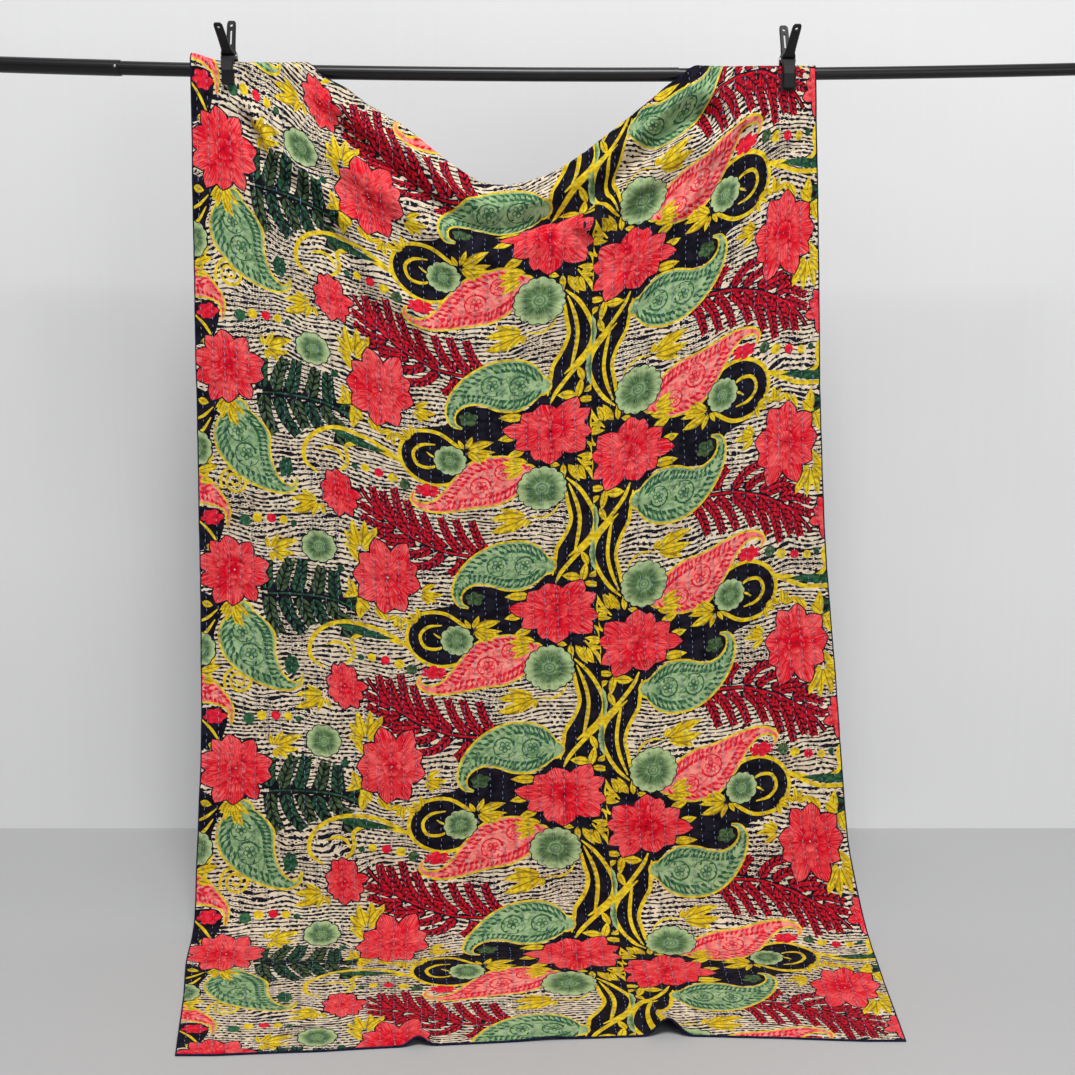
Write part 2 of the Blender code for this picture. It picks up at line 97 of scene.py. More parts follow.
# Each row is one line straight across the flat cloth: how far it hangs lower or higher than taut cloth
slackAcross = (0.07, 0.29, 0.40, 0.60, 0.76, 0.925, 1.28)
slackRows = (
    (0.70, (-0.096, -0.059, -0.024, 0.000, -0.013, -0.047, -0.139)),
    (1.13, (-0.0965, -0.077, -0.056, -0.050, -0.065, -0.072, -0.140)),
    (1.56, (-0.0995, -0.088, -0.080, -0.090, -0.100, -0.103, -0.142)),
    (2.00, (-0.103, -0.108, -0.121, -0.140, -0.160, -0.158, -0.150)),
    (2.395, (-0.103, -0.121, -0.132, -0.150, -0.165, -0.173, -0.153)),
)
upperLine = 0.30
upperSlack = (-0.099, -0.027, 0.014, 0.050, 0.022, -0.004, -0.137)

# Folds that stand forward of the hanging front, as ridges between two points (x, drop)
foldRidges = {
    "left clamp pleat": ((-0.605, 0.045), (-0.520, 0.190), 0.013, 0.010),
    "left clamp swell": ((-0.560, 0.050), (-0.330, 0.250), 0.040, 0.012),
    "left swag": ((-0.330, 0.200), (-0.060, 0.420), 0.045, 0.012),
    "right clamp pleat": ((0.470, 0.070), (0.330, 0.190), 0.016, 0.009),
    "right swag": ((0.400, 0.110), (0.110, 0.290), 0.026, 0.014),
    "right swag foot": ((0.110, 0.290), (-0.060, 0.360), 0.030, 0.012),
    "middle hollow edge": ((-0.120, 0.470), (0.180, 0.500), 0.028, 0.006),
    "trunk crease": ((-0.020, 0.850), (0.200, 0.870), 0.020, 0.005),
    "lower crease": ((0.050, 1.230), (0.240, 1.215), 0.018, 0.005),
    "left side swell": ((-0.640, 0.450), (-0.560, 1.300), 0.060, 0.007),
    "right side swell": ((0.520, 0.500), (0.580, 1.350), 0.055, 0.008),
}
# Folds under the sag; left and right are the places across where they begin and end
swag = {"depth": 0.016, "pitch": 0.125, "fade": 0.13, "left": (0.36, 0.50), "right": (0.88, 1.00)}
# Broad waves of the front: height, turns per metre across and down, phase
waves = ((0.0022, 9.1, 5.3, 1.0), (0.0014, 21.0, -7.7, 0.0))
# Distances below the fold over which the ridges and the waves set in
ridgesStart = (0.02, 0.09)
wavesStart = (0.05, 0.3)
# Cloth gathered at the clamps: share of the width, and how far down it is felt
gather = {"share": 0.02, "reach": 0.5}

# Bumps that lift off the floor: x at the hem, hem lift, half width, reach back from the hem, lean to +X
floorBumps = {
    "arch": (0.236, 0.034, 0.026, 0.20, -0.35),
    "pleat": (-0.212, 0.018, 0.018, 0.17, -0.20),
    "ripple": (0.020, 0.004, 0.045, 0.10, 0.0),
}

# The cloth lies flat under the clamp pads, x, width and height, and for a margin round them
clampPads = ((-0.624, 0.026, 0.032), (0.506, 0.031, 0.037))
padMargin = (0.014, 0.05)


# Smooth curve through knots that never overshoots them. Knots and values may have one column for each
# point asked for.
def smoothThrough(at, knots, values):
    at = np.asarray(at, float)
    knots = np.asarray(knots, float)
    values = np.asarray(values, float)
    if knots.ndim == 1:
        knots = np.repeat(knots[:, None], at.size, 1)
    if values.ndim == 1:
        values = np.repeat(values[:, None], at.size, 1)
    steps = np.diff(values, axis=0) / np.diff(knots, axis=0)
    before, after = steps[:-1], steps[1:]
    together = before * after > 0
    slopes = np.zeros_like(values)
    slopes[1:-1] = np.where(together, 2 * before * after / np.where(together, before + after, 1.0), 0.0)
    slopes[0] = steps[0]
    slopes[-1] = steps[-1]
    index = (at[None, :] >= knots[1:-1]).sum(0)[None, :]
    startKnot = np.take_along_axis(knots, index, 0)[0]
    span = np.take_along_axis(knots, index + 1, 0)[0] - startKnot
    startValue = np.take_along_axis(values, index, 0)[0]
    endValue = np.take_along_axis(values, index + 1, 0)[0]
    startSlope = np.take_along_axis(slopes, index, 0)[0] * span
    endSlope = np.take_along_axis(slopes, index + 1, 0)[0] * span
    t = np.clip((at - startKnot) / span, 0.0, 1.0)
    return (
        (2 * t**3 - 3 * t**2 + 1) * startValue
        + (t**3 - 2 * t**2 + t) * startSlope
        + (3 * t**2 - 2 * t**3) * endValue
        + (t**3 - t**2) * endSlope
    )


def smoothStep(value, low, high):
    t = np.clip((value - low) / (high - low), 0.0, 1.0)
    return t * t * (3 - 2 * t)


def rodAxisHeight(x):
    return rodLowHeight + rodBow * (x - rodLowX) ** 2


# Radius of the rod that the cloth is seated on, eased over the step between two tubes
def seatRadius(x):
    return middleRadius + (rightRadius - middleRadius) * smoothStep(x, *tubeStep)


# Share of the way from the left edge to the right one; the cloth is gathered a little at the clamps
def shareAcross(across, along):
    even = across / clothWidth
    return even - gather["share"] * np.sin(2 * np.pi * even) * np.exp(-((along / gather["reach"]) ** 2))


def edgeToEdge(share, drop):
    left = smoothThrough(drop, leftEdge["drop"], leftEdge["x"])
    right = smoothThrough(drop, rightEdge["drop"], rightEdge["x"])
    return left + (right - left) * share


# Rounded ridges between two points (x, drop); with a bend they wander a little to the side
def ridgeRelief(ridges, x, drop, endShare, bend=0.0):
    relief = np.zeros_like(x)
    for (x0, d0), (x1, d1), width, height in ridges.values():
        run = np.hypot(x1 - x0, d1 - d0)
        ux, ud = (x1 - x0) / run, (d1 - d0) / run
        reach = (x - x0) * ux + (drop - d0) * ud
        off = -(x - x0) * ud + (drop - d0) * ux + bend * np.sin(9 * reach / run)
        over = np.maximum(np.maximum(-reach, reach - run), 0.0)
        relief += height * np.exp(-((off / width) ** 2) - (over / (endShare * width + 0.02)) ** 2)
    return relief


def frontRelief(x, drop, across, foldDrop):
    relief = ridgeRelief(foldRidges, x, drop, 0.6)
    below = np.maximum(drop - foldDrop, 0.0)
    window = smoothStep(across, *swag["left"]) * (1 - smoothStep(across, *swag["right"]))
    fold = 0.5 - 0.5 * np.cos(2 * np.pi * below / swag["pitch"])
    relief += swag["depth"] * window * fold * np.exp(-below / swag["fade"])
    for height, perX, perDrop, phase in waves:
        relief += height * (1 + np.sin(perX * x + perDrop * drop + phase)) * smoothStep(below, *wavesStart)
    relief *= smoothStep(below, *ridgesStart)
    for padX, padWidth, padTall in clampPads:
        besidePad = np.abs(x - padX) - padWidth / 2
        belowPad = below - padTall
        relief *= smoothStep(np.hypot(np.maximum(besidePad, 0), np.maximum(belowPad, 0)), *padMargin)
    return relief


def floorLift(x, forward, hemForward):
    lift = np.zeros_like(x)
    back = np.maximum(hemForward - forward, 0.0)
    for hemX, height, width, reach, lean in floorBumps.values():
        ridgeX = hemX + lean * back
        fade = np.clip(1 - back / reach, 0.0, 1.0) ** 1.5
        bump = np.exp(-(((x - ridgeX) / width) ** 2)) - 0.02
        lift += height * fade * np.maximum(bump, 0.0)
    return lift


# The fold along the top of the cloth: over the rod at both ends, hanging free between them
def topFold(across):
    turned = smoothThrough(across, tuck["across"], tuck["length"])
    topX = edgeToEdge(shareAcross(across, turned), np.zeros_like(across))
    onRod = (across <= sag["across"][0]) | (across >= sag["across"][-1])
    loose = sum(np.exp(-(((across - place) / hem["reach"]) ** 2)) for place in hem["crossings"])
    wrapRadius = seatRadius(topX) + seatGap + clothThick / 2 + hem["looseness"] * loose
    crest = smoothThrough(across, sag["across"], sag["drop"])
    besideRod = 1 - smoothStep(crest + rodAxisHeight(topX) - datumHeight, *hem["besideRod"])
    radius = np.where(onRod, wrapRadius, hem["roll"] + hem["rollBesideRod"] * besideRod)
    arcLength = np.minimum(np.pi * radius, hem["wrapShare"] * turned)
    arcAngle = arcLength / radius
    freeDrop = crest + radius * np.sin(np.minimum(arcAngle, np.pi / 2))
    lift = hem["cornerLift"] * np.exp(-((across / hem["cornerWidth"]) ** 2))
    rodDrop = datumHeight - rodAxisHeight(topX) - lift
    foldDrop = np.where(onRod, rodDrop, freeDrop)
    return turned, arcLength, arcAngle, radius, wrapRadius, foldDrop


# Where the flat cloth's point (across, along) lies; along runs from the top hem down to the foot
def drape(across, along):
    across = np.asarray(across, float).ravel()
    along = np.asarray(along, float).ravel()
    turned, arcLength, arcAngle, radius, wrapRadius, foldDrop = topFold(across)

    knots = [turned, np.full_like(across, upperLine)]
    drops = [foldDrop, upperLine + smoothThrough(across, slackAcross, upperSlack)]
    for line, values in slackRows:
        knots.append(np.full_like(across, line))
        drops.append(line + smoothThrough(across, slackAcross, values))
    knots = np.array(knots)
    drops = np.array(drops)
    drop = smoothThrough(np.maximum(along, turned), knots, drops)
    hemDrop = drops[-1]

    x = edgeToEdge(shareAcross(across, np.maximum(along, turned)), np.maximum(drop, 0.0))
    forward = smoothThrough(drop, sideProfile["drop"], sideProfile["forward"])
    height = smoothThrough(drop, sideProfile["drop"], sideProfile["height"])
    hemForward = smoothThrough(hemDrop, sideProfile["drop"], sideProfile["forward"])
    steep = 1 - smoothStep(drop, *footBend)
    forward = forward + frontRelief(x, drop, across, foldDrop) * steep
    height = np.where(drop < 0, datumHeight - drop, height)
    height = np.maximum(height, clothThick / 2) + floorLift(x, forward, hemForward)
    y = -wrapRadius - forward
    z = height

    # The part turned over behind: an arc back over the rod or the free fold, then a hanging tail
    behind = np.maximum(turned - along, 0.0)
    angle = np.minimum(behind, arcLength) / radius
    tail = np.maximum(behind - arcLength, 0.0)
    centreY = -wrapRadius + radius
    overY = centreY - radius * np.cos(angle) + tail * np.sin(arcAngle)
    overZ = datumHeight - foldDrop + radius * np.sin(angle) + tail * np.cos(arcAngle)
    isOver = along < turned
    y = np.where(isOver, overY, y)
    z = np.where(isOver, overZ, z)
    return np.stack([x, y + rodY, z], 1)


# The print. One repeat is charted in millimetres from the middle of its largest flower: across, down.
# The left panel carries it upright and the right panel carries it turned by half a turn.
printLayout = {
    "repeat": 0.430,
    "leftStart": (0.767, 0.331),
    "rightStart": (0.936, 0.401),
    "rightShare": 0.937,
    "rightSkew": 0.084,
    "seam": 0.855,
    "grid": 0.0145,
    "topGrid": 0.0065,
    "block": 0.11,
    "outline": 2.4,
}
inks = ("ground", "black", "mustard", "rose", "sage", "sagePaisley", "pinkPaisley", "crimson", "pine",
        "deepRose", "olive", "leafMustard", "mossGreen")
# centre across, down, half width, half height, petals, start of the petals, turn in degrees, seed
largeFlowers = (
    (0, -6, 106, 78, 10, 0.14, 8, 4),
    (-362, -93, 77, 90, 9, 0.14, 100, 11),
    (-691, -69, 84, 77, 10, 0.14, 50, 23),
)
roundFlower = (-461, -262, 46, 53, 10, 0.16, 20, 5)
# ink, across, down, half width, half height, lobes, cut, seed; the low flower lies under the bands
lowFlower = ("sage", 92, -137, 17, 44, 9, 0.14, 10)
smallFlowers = (
    ("sage", -22, -303, 55, 53, 15, 0.13, 6), ("sage", -507, -137, 38, 36, 9, 0.16, 7),
    ("sage", -218, 50, 36, 36, 11, 0.15, 8), ("sage", -768, 104, 34, 38, 10, 0.15, 9),
    ("deepRose", -268, -305, 30, 17, 7, 0.42, 12), ("deepRose", -738, -180, 26, 19, 6, 0.4, 13),
    ("pine", -573, 130, 17, 24, 6, 0.34, 14), ("olive", -176, -50, 22, 19, 5, 0.45, 15),
)
# body ink, line ink, spine from head to tip as across, down, half width
paisleys = (
    (
        "sagePaisley", "mossGreen",
        (
            (-674, 20, 20), (-673, 32, 37), (-672, 48, 50), (-669, 70, 58), (-661, 96, 57),
            (-648, 121, 47), (-630, 143, 34), (-607, 163, 20), (-580, 175, 9), (-560, 172, 3),
            (-551, 158, 1), (-550, 148, 0.8),
        ),
    ),
    (
        "sagePaisley", "mossGreen",
        (
            (-18, -114, 18), (-30, -116, 34), (-50, -119, 49), (-76, -121, 57), (-116, -125, 54),
            (-150, -121, 41), (-180, -108, 26), (-203, -86, 15), (-214, -60, 8), (-208, -36, 4),
            (-190, -27, 1),
        ),
    ),
    (
        "pinkPaisley", "deepRose",
        (
            (-52, -345, 16), (-62, -343, 30), (-80, -340, 43), (-108, -335, 53), (-148, -325, 56),
            (-190, -302, 38), (-223, -281, 23), (-256, -267, 11), (-286, -268, 5), (-303, -282, 3),
            (-298, -300, 1),
        ),
    ),
    (
        "pinkPaisley", "deepRose",
        ((-800, -246, 34), (-760, -238, 27), (-722, -216, 12), (-704, -194, 4), (-704, -160, 1)),
    ),
)
# centre across, down, radius of the rosettes inside the paisleys, line ink, petal ink
rosettes = (
    (-676, 62, 27, "mossGreen", "sagePaisley"), (-658, 110, 30, "mossGreen", "sagePaisley"),
    (-123, -127, 29, "mossGreen", "sagePaisley"), (-64, -121, 27, "mossGreen", "sagePaisley"),
    (-104, -352, 23, "deepRose", "pinkPaisley"), (-152, -318, 30, "deepRose", "pinkPaisley"),
)
# black shapes: points of a closed smooth outline
blackShapes = (
    (
        (-308, -3), (-330, 32), (-320, 74), (-296, 98), (-258, 112), (-216, 106), (-180, 84), (-150, 52),
        (-96, 48), (-20, 84), (60, 80), (60, -90), (-10, -96), (-60, -60), (-120, -72), (-176, -80),
        (-208, -56), (-226, -34), (-258, -26), (-290, -16),
    ),
    (
        (29, -330), (33, -263), (39, -225), (27, -190), (6, -156), (2, -134), (-9, -86), (30, -10),
        (60, 40), (70, 90), (125, 96), (125, -120), (125, -260), (125, -350), (60, -372),
    ),
    ((-800, -184), (-735, -200), (-712, -184), (-716, -150), (-735, -118), (-800, -110)),
    ((-800, -10), (-728, -4), (-716, 14), (-738, 70), (-733, 112), (-746, 150), (-752, 190), (-800, 210)),
)
# mustard bands: half width, then the points of a smooth route
bands = (
    (
        4.2,
        (
            (-170, 62), (-190, 88), (-223, 107), (-262, 111), (-297, 96), (-320, 70), (-326, 36),
            (-308, -2), (-276, -15), (-240, -12), (-208, 10), (-192, 26),
        ),
    ),
    (3.6, ((-242, 62), (-264, 71), (-289, 65), (-297, 39), (-279, 19), (-249, 15))),
    (2.6, ((-268, 34), (-258, 42), (-248, 47))),
    (
        4.6,
        (
            (-318, 68), (-348, 48), (-384, 29), (-420, 24), (-456, 24), (-494, 36), (-522, 59),
            (-534, 86), (-530, 112), (-504, 132),
        ),
    ),
    (
        4.4,
        (
            (-322, 66), (-350, 54), (-384, 42), (-421, 46), (-443, 62), (-440, 84), (-444, 104),
            (-460, 120),
        ),
    ),
    (3.8, ((-500, 80), (-478, 72), (-458, 78), (-448, 96))),
    (
        4.6,
        (
            (56, -364), (81, -332), (99, -291), (104, -245), (98, -198), (76, -164), (48, -137),
            (14, -98), (0, -72),
        ),
    ),
    (4.4, ((32, -322), (57, -296), (78, -261), (91, -221), (82, -184), (55, -154), (30, -134))),
    (4.2, ((36, -308), (52, -262), (58, -221), (52, -178), (44, -146))),
    (4.4, ((26, -318), (33, -263), (39, -225), (27, -190), (6, -156), (2, -134), (-6, -90))),
    (2.6, ((-50, -237), (-22, -232), (2, -244), (14, -262))),
    (3.6, ((70, 30), (84, 38), (90, 62), (76, 74), (66, 62))),
    (3.4, ((-775, 46), (-752, 36), (-730, 18))), (3.4, ((-775, 78), (-754, 66), (-736, 40))),
    (3.2, ((-775, 190), (-756, 176), (-742, 148))), (3.2, ((-770, -176), (-744, -150), (-722, -116))),
    (3.0, ((-760, -262), (-744, -280), (-738, -310))),
)
spiral = {
    "centre": (-686, 172), "radius": 33, "turns": 2.1, "half": 3.4, "start": 150,
    "closing": 0.86, "thinning": 0.8,
}
# leaves by ink: from across, down, to across, down, half width
leaves = (
    (
        "leafMustard",
        (
            (56, -72, 68, -119, 9), (72, -84, 98, -98, 7), (60, -70, 98, -64, 8), (56, -82, 14, -88, 11),
            (92, 18, 94, -46, 10), (-72, -3, -114, 2, 10), (-56, 32, -96, 44, 10),
            (-56, -46, -112, -50, 11), (25, 74, 27, 108, 7), (36, 76, 60, 120, 8), (-6, 68, 18, 76, 7),
            (96, 66, 56, 60, 7), (74, 118, 46, 84, 9), (-50, 62, -94, 50, 8), (-60, 76, -100, 98, 9),
            (-415, -62, -458, -30, 11), (-416, -42, -426, 14, 12), (-386, -20, -362, 8, 10),
            (-402, -172, -382, -206, 9), (-416, -112, -452, -160, 9), (72, -112, 58, -146, 8),
            (-172, 28, -138, 52, 8), (-172, 28, -120, 30, 7), (-434, -40, -446, -78, 10),
            (-404, -12, -430, -36, 12), (-376, 2, -392, -26, 10), (-752, -120, -722, -112, 10),
            (-770, -96, -738, -86, 9), (-764, 2, -740, 10, 8), (-768, 134, -730, 120, 10),
            (-770, 152, -722, 140, 9), (-764, 170, -736, 176, 8),
        ),
    ),
    ("pine", ((-478, 32, -352, 48, 10), (-470, -96, -452, -92, 9))),
    ("leafMustard", ((-62, -362, -110, -374, 8), (-64, -358, -108, -352, 8), (40, -352, 60, -318, 8))),
)
# sprigs: across and down of the foot, then of every leaf tip
sprigs = (
    ((-696, 8), (-724, 26), (-712, 44), (-690, 52), (-672, 56), (-660, 30)),
    ((60, -352), (40, -330), (72, -318), (92, -344), (84, -366)),
    ((-503, -236), (-542, -258), (-566, -234), (-567, -207), (-519, -201), (-493, -208), (-536, -216)),
    ((-614, -118), (-620, -148), (-594, -157), (-551, -146), (-559, -117), (-582, -95), (-604, -94)),
    ((-418, -146), (-435, -212), (-408, -216), (-453, -184), (-455, -150), (-382, -200), (-398, -162)),
    ((-295, -61), (-259, -82), (-244, -57), (-275, -31), (-256, -40)),
    ((-337, -6), (-356, 22), (-337, 32), (-314, 20), (-368, 8)),
    ((-186, 25), (-199, 0), (-169, -9), (-123, 6), (-127, 38), (-151, 58)),
    ((-50, -237), (-115, -264), (-137, -238), (-138, -208), (-92, -203), (-61, -211)),
    ((-697, -4), (-726, 20), (-714, 36), (-684, 40), (-664, 26)),
    ((-296, 4), (-322, -12), (-304, -26), (-330, 8)),
)
# ferns: inks of the branches in turn, size of a leaf pair, stem, then foot, bend and tip of every branch
ferns = (
    (
        ("crimson",), 1.0,
        (
            (-140, -158), (-173, -152), (-204, -155), (-241, -163), (-275, -178), (-309, -194),
            (-346, -220), (-376, -244), (-399, -267), (-414, -288),
        ),
        (
            ((-147, -162), (-164, -194), (-176, -235)), ((-171, -157), (-196, -195), (-211, -240)),
            ((-200, -160), (-227, -196), (-243, -242)), ((-236, -167), (-264, -202), (-282, -248)),
            ((-268, -178), (-298, -221), (-316, -276)), ((-302, -191), (-330, -240), (-342, -301)),
            ((-334, -211), (-355, -250), (-368, -290)), ((-363, -234), (-381, -264), (-389, -296)),
            ((-200, -147), (-208, -125), (-228, -108)), ((-239, -157), (-269, -129), (-313, -122)),
            ((-266, -167), (-292, -153), (-326, -150)), ((-299, -179), (-329, -175), (-363, -176)),
            ((-312, -187), (-350, -186), (-389, -196)), ((-344, -207), (-377, -210), (-414, -225)),
            ((-363, -229), (-386, -238), (-417, -251)),
        ),
    ),
    (
        ("pine", "olive"), 1.35,
        ((-418, 6), (-432, -6), (-464, -18), (-503, -25), (-541, -27), (-580, -27), (-621, -24)),
        (
            ((-474, -22), (-477, -55), (-477, -87)), ((-518, -27), (-509, -59), (-503, -91)),
            ((-562, -29), (-550, -63), (-543, -102)), ((-595, -28), (-584, -68), (-569, -101)),
            ((-620, -30), (-622, -61), (-618, -96)), ((-618, -22), (-614, 20), (-595, 60)),
            ((-588, -21), (-573, 23), (-546, 57)), ((-554, -22), (-542, 8), (-528, 40)),
            ((-523, -21), (-511, 10), (-494, 40)), ((-490, -19), (-475, 9), (-447, 22)),
            ((-457, -14), (-442, -22), (-434, -44)), ((-466, 43), (-446, 46), (-415, 40)),
        ),
    ),
)
# rows of dots: ink, across, down, radius
dots = (
    ("mossGreen", -665, -178, 12.5), ("mustard", -638, -186, 10.5), ("deepRose", -608, -188, 10),
    ("mustard", -582, -187, 9), ("pine", -560, -182, 7), ("pine", -425, 98, 7), ("mustard", -402, 94, 9),
    ("deepRose", -373, 97, 10), ("mustard", -343, 105, 11), ("olive", -317, 117, 12),
)


def smoothRoute(points, perSpan=6, closed=False):
    knots = np.array(points, float)
    if closed:
        padded = np.concatenate([knots[-1:], knots, knots[:2]])
    else:
        padded = np.concatenate([2 * knots[:1] - knots[1:2], knots, 2 * knots[-1:] - knots[-2:-1]])
    t = (np.arange(perSpan) / perSpan)[:, None]
    route = []
    for k in range(len(padded) - 3):
        a, b, c, d = padded[k:k + 4]
        square = 2 * a - 5 * b + 4 * c - d
        cube = 3 * b - a - 3 * c + d
        route.append(0.5 * (2 * b + (c - a) * t + square * t**2 + cube * t**3))
    route = np.concatenate(route)
    return route if closed else np.concatenate([route, knots[-1:]])


# Closed ring of points; radii stretch it in every direction in turn
def ringAround(centre, radiusX, radiusY, radii):
    angle = 2 * np.pi * np.arange(len(radii)) / len(radii)
    across = centre[0] + radiusX * radii * np.cos(angle)
    down = centre[1] + radiusY * radii * np.sin(angle)
    return np.stack([across, down], 1)


# Small flowers have rounded lobes of uneven width and length
lobeLook = {"points": 5, "uneven": 0.35, "shorter": 0.22, "roundness": 0.55}


def lobeRadii(lobes, cut, turn, seed):
    chance = np.random.default_rng(seed)
    widths = 1 + lobeLook["uneven"] * (chance.random(lobes) - 0.5)
    ends = np.cumsum(widths) / widths.sum()
    lengths = 1 - lobeLook["shorter"] * chance.random(lobes)
    count = lobes * lobeLook["points"]
    share = (np.arange(count) / count - turn / 360) % 1.0
    index = np.searchsorted(ends, share, side="right").clip(0, lobes - 1)
    start = np.where(index > 0, ends[index - 1], 0.0)
    t = 2 * (share - start) / (ends[index] - start) - 1
    swell = np.cos(np.pi / 2 * np.clip(t, -1, 1)) ** lobeLook["roundness"]
    return (1 - cut) + cut * lengths[index] * swell


# Lengths gone along a route, and the directions to its side
def lengthsAlong(route):
    return np.concatenate([[0], np.cumsum(np.linalg.norm(np.diff(route, axis=0), axis=1))])


def sideways(route):
    ahead = np.gradient(route, axis=0)
    ahead /= np.linalg.norm(ahead, axis=1, keepdims=True) + 1e-9
    return np.stack([-ahead[:, 1], ahead[:, 0]], 1)


def bandOutline(route, halfWidths):
    side = sideways(route) * np.asarray(halfWidths, float)[:, None]
    return np.concatenate([route + side, (route - side)[::-1]])


def leafOutline(foot, tip, halfWidth, bow=0.0, steps=5):
    foot = np.array(foot, float)
    tip = np.array(tip, float)
    t = np.linspace(0, 1, steps)
    ahead = tip - foot
    side = np.array([-ahead[1], ahead[0]]) / (np.linalg.norm(ahead) + 1e-9)
    middle = foot + ahead * t[:, None] + side * (bow * np.sin(np.pi * t))[:, None]
    swell = (halfWidth * np.sin(np.pi * t**0.8) ** 0.9)[1:-1, None]
    left = middle[1:-1] + side * swell
    right = middle[1:-1] - side * swell
    return np.concatenate([middle[:1], left, middle[-1:], right[::-1]])


# The printed shapes, the lowest first: ink, outline, then the centre, half sizes and turn for its ink
shapes = []


def addShape(ink, outline, centre=None, size=(1.0, 1.0), turn=0.0):
    outline = np.asarray(outline, float)
    if centre is None:
        centre = outline.mean(0)
    shapes.append((inks.index(ink), outline, np.array(centre, float), np.array(size, float), turn))


def addLeaf(ink, foot, tip, halfWidth, bow=0.0, steps=5):
    size = 0.5 * math.hypot(tip[0] - foot[0], tip[1] - foot[1])
    turn = math.atan2(tip[1] - foot[1], tip[0] - foot[0])
    centre = ((foot[0] + tip[0]) / 2, (foot[1] + tip[1]) / 2)
    addShape(ink, leafOutline(foot, tip, halfWidth, bow, steps), centre, (size, halfWidth), turn)


# A petal grows from near the middle of its flower and ends in a point: place along it and width there
petalSwell = ((0.0, 0.50), (0.28, 0.87), (0.55, 1.0), (0.78, 0.77), (0.92, 0.35), (1.0, 0.0))
# Rings of petals: petals and start where they are the same in all flowers, then end, fullness, uneven lengths
outerRings = ((1.10, 0.76, 0.24), (0.74, 0.82, 0.12))
innerRings = ((7, 0.06, 0.54, 0.95, 0.14), (5, 0.02, 0.26, 1.05, 0.05))
bloomLook = {"turnSpread": 0.40, "narrowest": 0.84, "widthSpread": 0.32, "lean": 0.20}


def petalOutline(centre, half, tall, angle, start, end, width, lean):
    along = np.array([start + (end - start) * t for t, _ in petalSwell])
    off = np.array([width * swell for _, swell in petalSwell])
    drift = lean * ((along - start) / (end - start)) ** 2
    reach = np.concatenate([along, along[-2::-1]])
    side = np.concatenate([off + drift, (drift - off)[-2::-1]])
    cos, sin = math.cos(angle), math.sin(angle)
    across = centre[0] + half * (reach * cos - side * sin)
    down = centre[1] + tall * (reach * sin + side * cos)
    return np.stack([across, down], 1)


def addBloom(across, down, half, tall, petals, start, turn, seed):
    chance = np.random.default_rng(seed)
    centre = np.array((across, down), float)
    edge = printLayout["outline"]
    planned = []
    for ring, row in enumerate(tuple((petals, start, *outer) for outer in outerRings) + innerRings):
        count, inner, outer, fullness, spread = row
        offset = math.radians(turn) + math.pi * ring / count
        unevenTurn = bloomLook["turnSpread"] * (chance.random(count) - 0.5)
        angles = offset + 2 * math.pi * (np.arange(count) + unevenTurn) / count
        ends = outer * (1 - spread * chance.random(count))
        unevenWidth = bloomLook["narrowest"] + bloomLook["widthSpread"] * chance.random(count)
        wide = outer * math.sin(math.pi / count) * fullness * unevenWidth
        leans = bloomLook["lean"] * outer * (chance.random(count) - 0.5)
        order = list(range(0, count, 2)) + list(range(1, count, 2))
        planned.append([(angles[k], inner, ends[k], wide[k], leans[k]) for k in order])
    for angle, inner, end, wide, lean in planned[0]:
        grown = petalOutline(centre, half + edge, tall + edge, angle, inner, end, wide + edge / half, lean)
        addShape("black", grown)
    for ring in planned:
        for angle, inner, end, wide, lean in ring:
            outline = petalOutline(centre, half, tall, angle, inner, end, wide, lean)
            tip = outline[len(petalSwell) - 1]
            base = 0.5 * (outline[0] + outline[-1])
            length = float(np.linalg.norm(tip - base))
            turned = math.atan2(tip[1] - base[1], tip[0] - base[0])
            addShape("rose", outline, base, (length, wide * (half + tall) / 2), turned)


# Half widths, distances along a branch, and one leaf of a pair as points along the branch and off it
fernLook = {
    "stem": 5.0, "branch": (12.0, 8.5), "rib": (2.6, 1.4), "pitch": 12.2, "first": 0.3, "ahead": 4.0,
    "taper": (1.04, 0.30),
    "leaf": ((-1.5, 0.9), (1.5, 5.2), (7.5, 9.2), (15.5, 10.8), (12.5, 5.6), (6.5, 1.6)),
}


def addFern(branchInks, scale, stem, branches):
    route = smoothRoute(stem, 5)
    addShape("black", bandOutline(route, np.full(len(route), fernLook["stem"] * scale)))
    routes = [smoothRoute(branch, 7) for branch in branches]
    for path in routes:
        thinned = path[::2]
        addShape("black", bandOutline(thinned, np.linspace(*fernLook["branch"], len(thinned)) * scale))
    for number, path in enumerate(routes):
        ink = branchInks[number % len(branchInks)]
        gone = lengthsAlong(path)
        count = max(int(round(gone[-1] / (fernLook["pitch"] * scale))), 2)
        for k in range(count):
            t = (k + fernLook["first"]) / count
            place = t * gone[-1]
            root = np.array([np.interp(place, gone, path[:, axis]) for axis in (0, 1)])
            further = np.array([np.interp(place + fernLook["ahead"], gone, path[:, axis]) for axis in (0, 1)])
            ahead = (further - root) / (np.linalg.norm(further - root) + 1e-9)
            side = np.array([-ahead[1], ahead[0]])
            taper = scale * (fernLook["taper"][0] - fernLook["taper"][1] * t)
            for sign in (-1, 1):
                addShape(ink, [root + taper * forth * ahead + sign * taper * off * side
                               for forth, off in fernLook["leaf"]])
    addShape(branchInks[0], bandOutline(route, np.linspace(*fernLook["rib"], len(route))))


# Leaves of a sprig: share of the way left bare at the foot, half width as a share of the reach and more, bow
sprigLook = {"bare": 0.12, "widthShare": 0.125, "widthMore": 2.2, "bow": 0.05}


